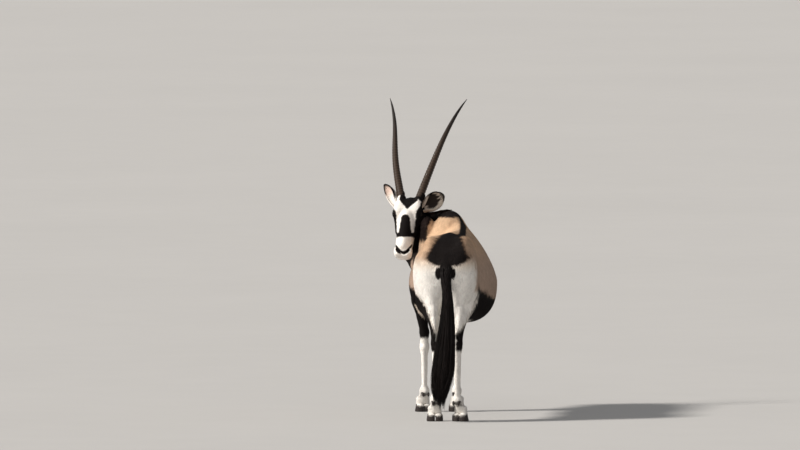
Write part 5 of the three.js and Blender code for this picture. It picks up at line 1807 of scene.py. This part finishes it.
def mane():
    count = MANE_BLADES
    place = random.uniform(1.15, 7.6, count)
    at = MANE_LINE(place)
    back = unit(MANE_LINE(place - 0.3) - at)
    across = unit(np.cross(back, vec(0, 0, 1)))
    fan = random.normal(0, 0.3, (count, 1))
    up = unit(vec(0, 0, 1) + across * fan)
    root = at + up * (reach(body, at, up)[:, None] - SKIN_DEPTH - 2)
    long = random.uniform(36, 56, count) * (0.5 + 0.5 * ramp(place, 1.1, 2.8))
    long = long * (1 - 0.4 * ramp(place, 6.6, 7.6))
    share = np.linspace(0, 1, 5)
    drift = random.normal(0, 4, (count, 1))
    paths = np.stack(
        [
            root + back * (long * (0.35 * s + 0.55 * s * s))[:, None] + up * (long * (0.46 * s - 0.2 * s * s))[:, None]
            + across * drift * s
            for s in share
        ],
        axis=1,
    )
    acrosses = np.repeat(across[:, None, :], 5, axis=1)
    wide = random.uniform(2.6, 5.0, count)
    tones = mix(BLACK, BROWN, random.uniform(0, 0.45, (count, 1)))
    profile = np.array([0.7, 1, 0.85, 0.55, 0])
    hair("mane", paths, acrosses, wide, wide * 0.28, profile, tones, HAIR_LOOK)


mane()


# Ears: a fringe of pale hair inside, with painted shade in the left ear's hollow, and short tufts on their backs and
# rims
def ear_fur(name):
    for inside, count, long in ((1.0, 900, 11.0), (0.0, 1600, 9.0)):
        t = random.uniform(0.03, 0.97, count)
        v = random.uniform(-0.98, 0.98, count)
        if inside:
            v = np.sign(v) * np.abs(v) ** 0.4
        root = ear_point(name, t, v, np.full(count, inside))
        ahead = ear_point(name, np.minimum(t + 0.03, 1), v, np.full(count, inside))
        beside = ear_point(name, t, v + 0.02, np.full(count, inside))
        way = unit(ahead - root)
        normal = unit(np.cross(beside - root, way))
        hollow = sum(ear_point(name, t, 0 * v + at, np.full(count, 0.5)) for at in (-1, 0, 1)) / 3
        outward = np.einsum("ij,ij->i", normal, root - hollow) > 0
        normal = normal * np.where(outward == bool(inside), -1, 1)[:, None]
        if inside:
            way = unit(way + unit(hollow - root) * 0.35)
        way = unit(way - normal * np.einsum("ij,ij->i", way, normal)[:, None])
        lengths = long * random.uniform(0.7, 1.3, count) * (1 - 0.35 * t)
        widths = random.uniform(1.6, 2.6, count)
        points, faces = tufts(root, normal, way, lengths, widths, random.uniform(0.8, 2.0, count))
        tones = ear_marks_and_shade(name, t, v, np.full(count, inside > 0)) * random.normal(1, 0.08, (count, 1))
        colours = np.repeat(clamp(tones, 0, 1), 7, axis=0)
        uvs = tuft_uvs(np.stack([t, 0.5 + v / 2.1], axis=1))
        kind = "fringe" if inside else "coat"
        shading = tuft_normals(normal, way)
        make(f"ear_{name}_{kind}", points, faces, COAT_LOOK, colours=colours, uvs=uvs, normals=shading)


for name in EARS:
    ear_fur(name)


# Eyelashes
def lashes():
    paths, acrosses = [], []
    for side in (1, -1):
        way, along, up = eye_frame(side)
        for turn in np.radians(np.linspace(18, 162, 34)):
            a = 16.5 * math.cos(turn)
            b = 9.5 * (1 - 0.35 * abs(math.cos(turn)) ** 3) * math.sin(turn) + 0.8
            out = math.sqrt((EYE_RADIUS + 2.0) ** 2 - a * a - b * b)
            root = eye_place(side) + along * a + up * b + way * out
            long = 14 * (0.65 + 0.35 * math.sin(turn)) * random.uniform(0.85, 1.15)
            tilt = unit(way + along * (math.cos(turn) * 0.5) + up * 0.25)
            bow = unit(up * 1.0 - way * 0.3)
            share = np.linspace(0, 1, 4)
            paths.append([root + tilt * long * s + (bow * s * s - up * 0.25 * s) * long * 0.35 for s in share])
            acrosses.append([along] * 4)
    count = len(paths)
    tones = np.tile(BLACK * 0.6, (count, 1))
    profile = np.array([1, 0.8, 0.5, 0])
    wide = np.full(count, 1.2)
    thick = np.full(count, 0.7)
    hair("lashes", np.array(paths), np.array(acrosses), wide, thick, profile, tones, HAIR_LOOK)


lashes()


# Floor, light and camera
FLOOR_RADIUS = 90.0
FLOOR_TONE = (0.5, 0.49, 0.475)
WORLD_STRENGTH = 0.31
floor_mesh = bpy.data.meshes.new("floor")
ring = [(FLOOR_RADIUS * math.cos(a), FLOOR_RADIUS * math.sin(a), 0) for a in np.linspace(0, 2 * math.pi, 64)[:-1]]
floor_mesh.from_pydata(ring, [], [range(len(ring))])
floor = bpy.data.objects.new("floor", floor_mesh)
bpy.context.scene.collection.objects.link(floor)
FLOOR_LOOK = material("floor", 0.4, 0.0004, 0.8, tone=FLOOR_TONE, spread=0.02)
floor_mesh.materials.append(FLOOR_LOOK)

world = bpy.data.worlds.new("studio")
world.use_nodes = True
world.node_tree.nodes["Background"].inputs["Color"].default_value = (0.96, 0.97, 1.0, 1)
world.node_tree.nodes["Background"].inputs["Strength"].default_value = WORLD_STRENGTH
bpy.context.scene.world = world
bpy.context.scene.view_settings.view_transform = "Standard"


def sun(name, azimuth, height, strength, size, tint):
    """A soft distant light: azimuth is in degrees to the right of the photo's camera, seen from above."""
    light = bpy.data.lights.new(name, "SUN")
    light.energy = strength
    light.angle = math.radians(size)
    light.color = tint
    lamp = bpy.data.objects.new(name, light)
    a, e = math.radians(azimuth), math.radians(height)
    back = Vector((math.sin(a) * math.cos(e), -math.cos(a) * math.cos(e), math.sin(e)))
    lamp.rotation_mode = "QUATERNION"
    lamp.rotation_quaternion = (-back).to_track_quat("-Z", "Y")
    bpy.context.scene.collection.objects.link(lamp)


sun("key", -66, 38, 4.2, 7, (1.0, 0.955, 0.9))
sun("fill", -10, 25, 0.45, 60, (1.0, 0.98, 0.95))

# The photograph's frame is 800 by 450, and 175 of its pixels are a metre at the animal
LENS = 600.0
SENSOR = 36.0
camera_data = bpy.data.cameras.new("camera")
camera_data.lens = LENS
camera_data.sensor_width = SENSOR
distance = 800 / PIXELS_PER_METRE * LENS / SENSOR
camera_data.clip_end = distance * 3
camera = bpy.data.objects.new("camera", camera_data)
ca, sa = math.cos(CAMERA_AZIMUTH), math.sin(CAMERA_AZIMUTH)
ce, se = math.cos(CAMERA_ELEVATION), math.sin(CAMERA_ELEVATION)
right = Vector((ca, sa, 0))
backward = Vector((sa * ce, -ca * ce, se))
upward = backward.cross(right)
centre = right * ((400 - CENTRE_PIXEL) / PIXELS_PER_METRE) + upward * ((GROUND_PIXEL - 225) / PIXELS_PER_METRE)
centre = centre + upward * upward.dot(Vector((0, GROUND_PLACE / 1000, 0))) + Vector(OFFSET / 1000)
camera.matrix_world = Matrix((right, upward, backward)).transposed().to_4x4()
camera.location = centre + backward * distance
bpy.context.scene.collection.objects.link(camera)
bpy.context.scene.camera = camera
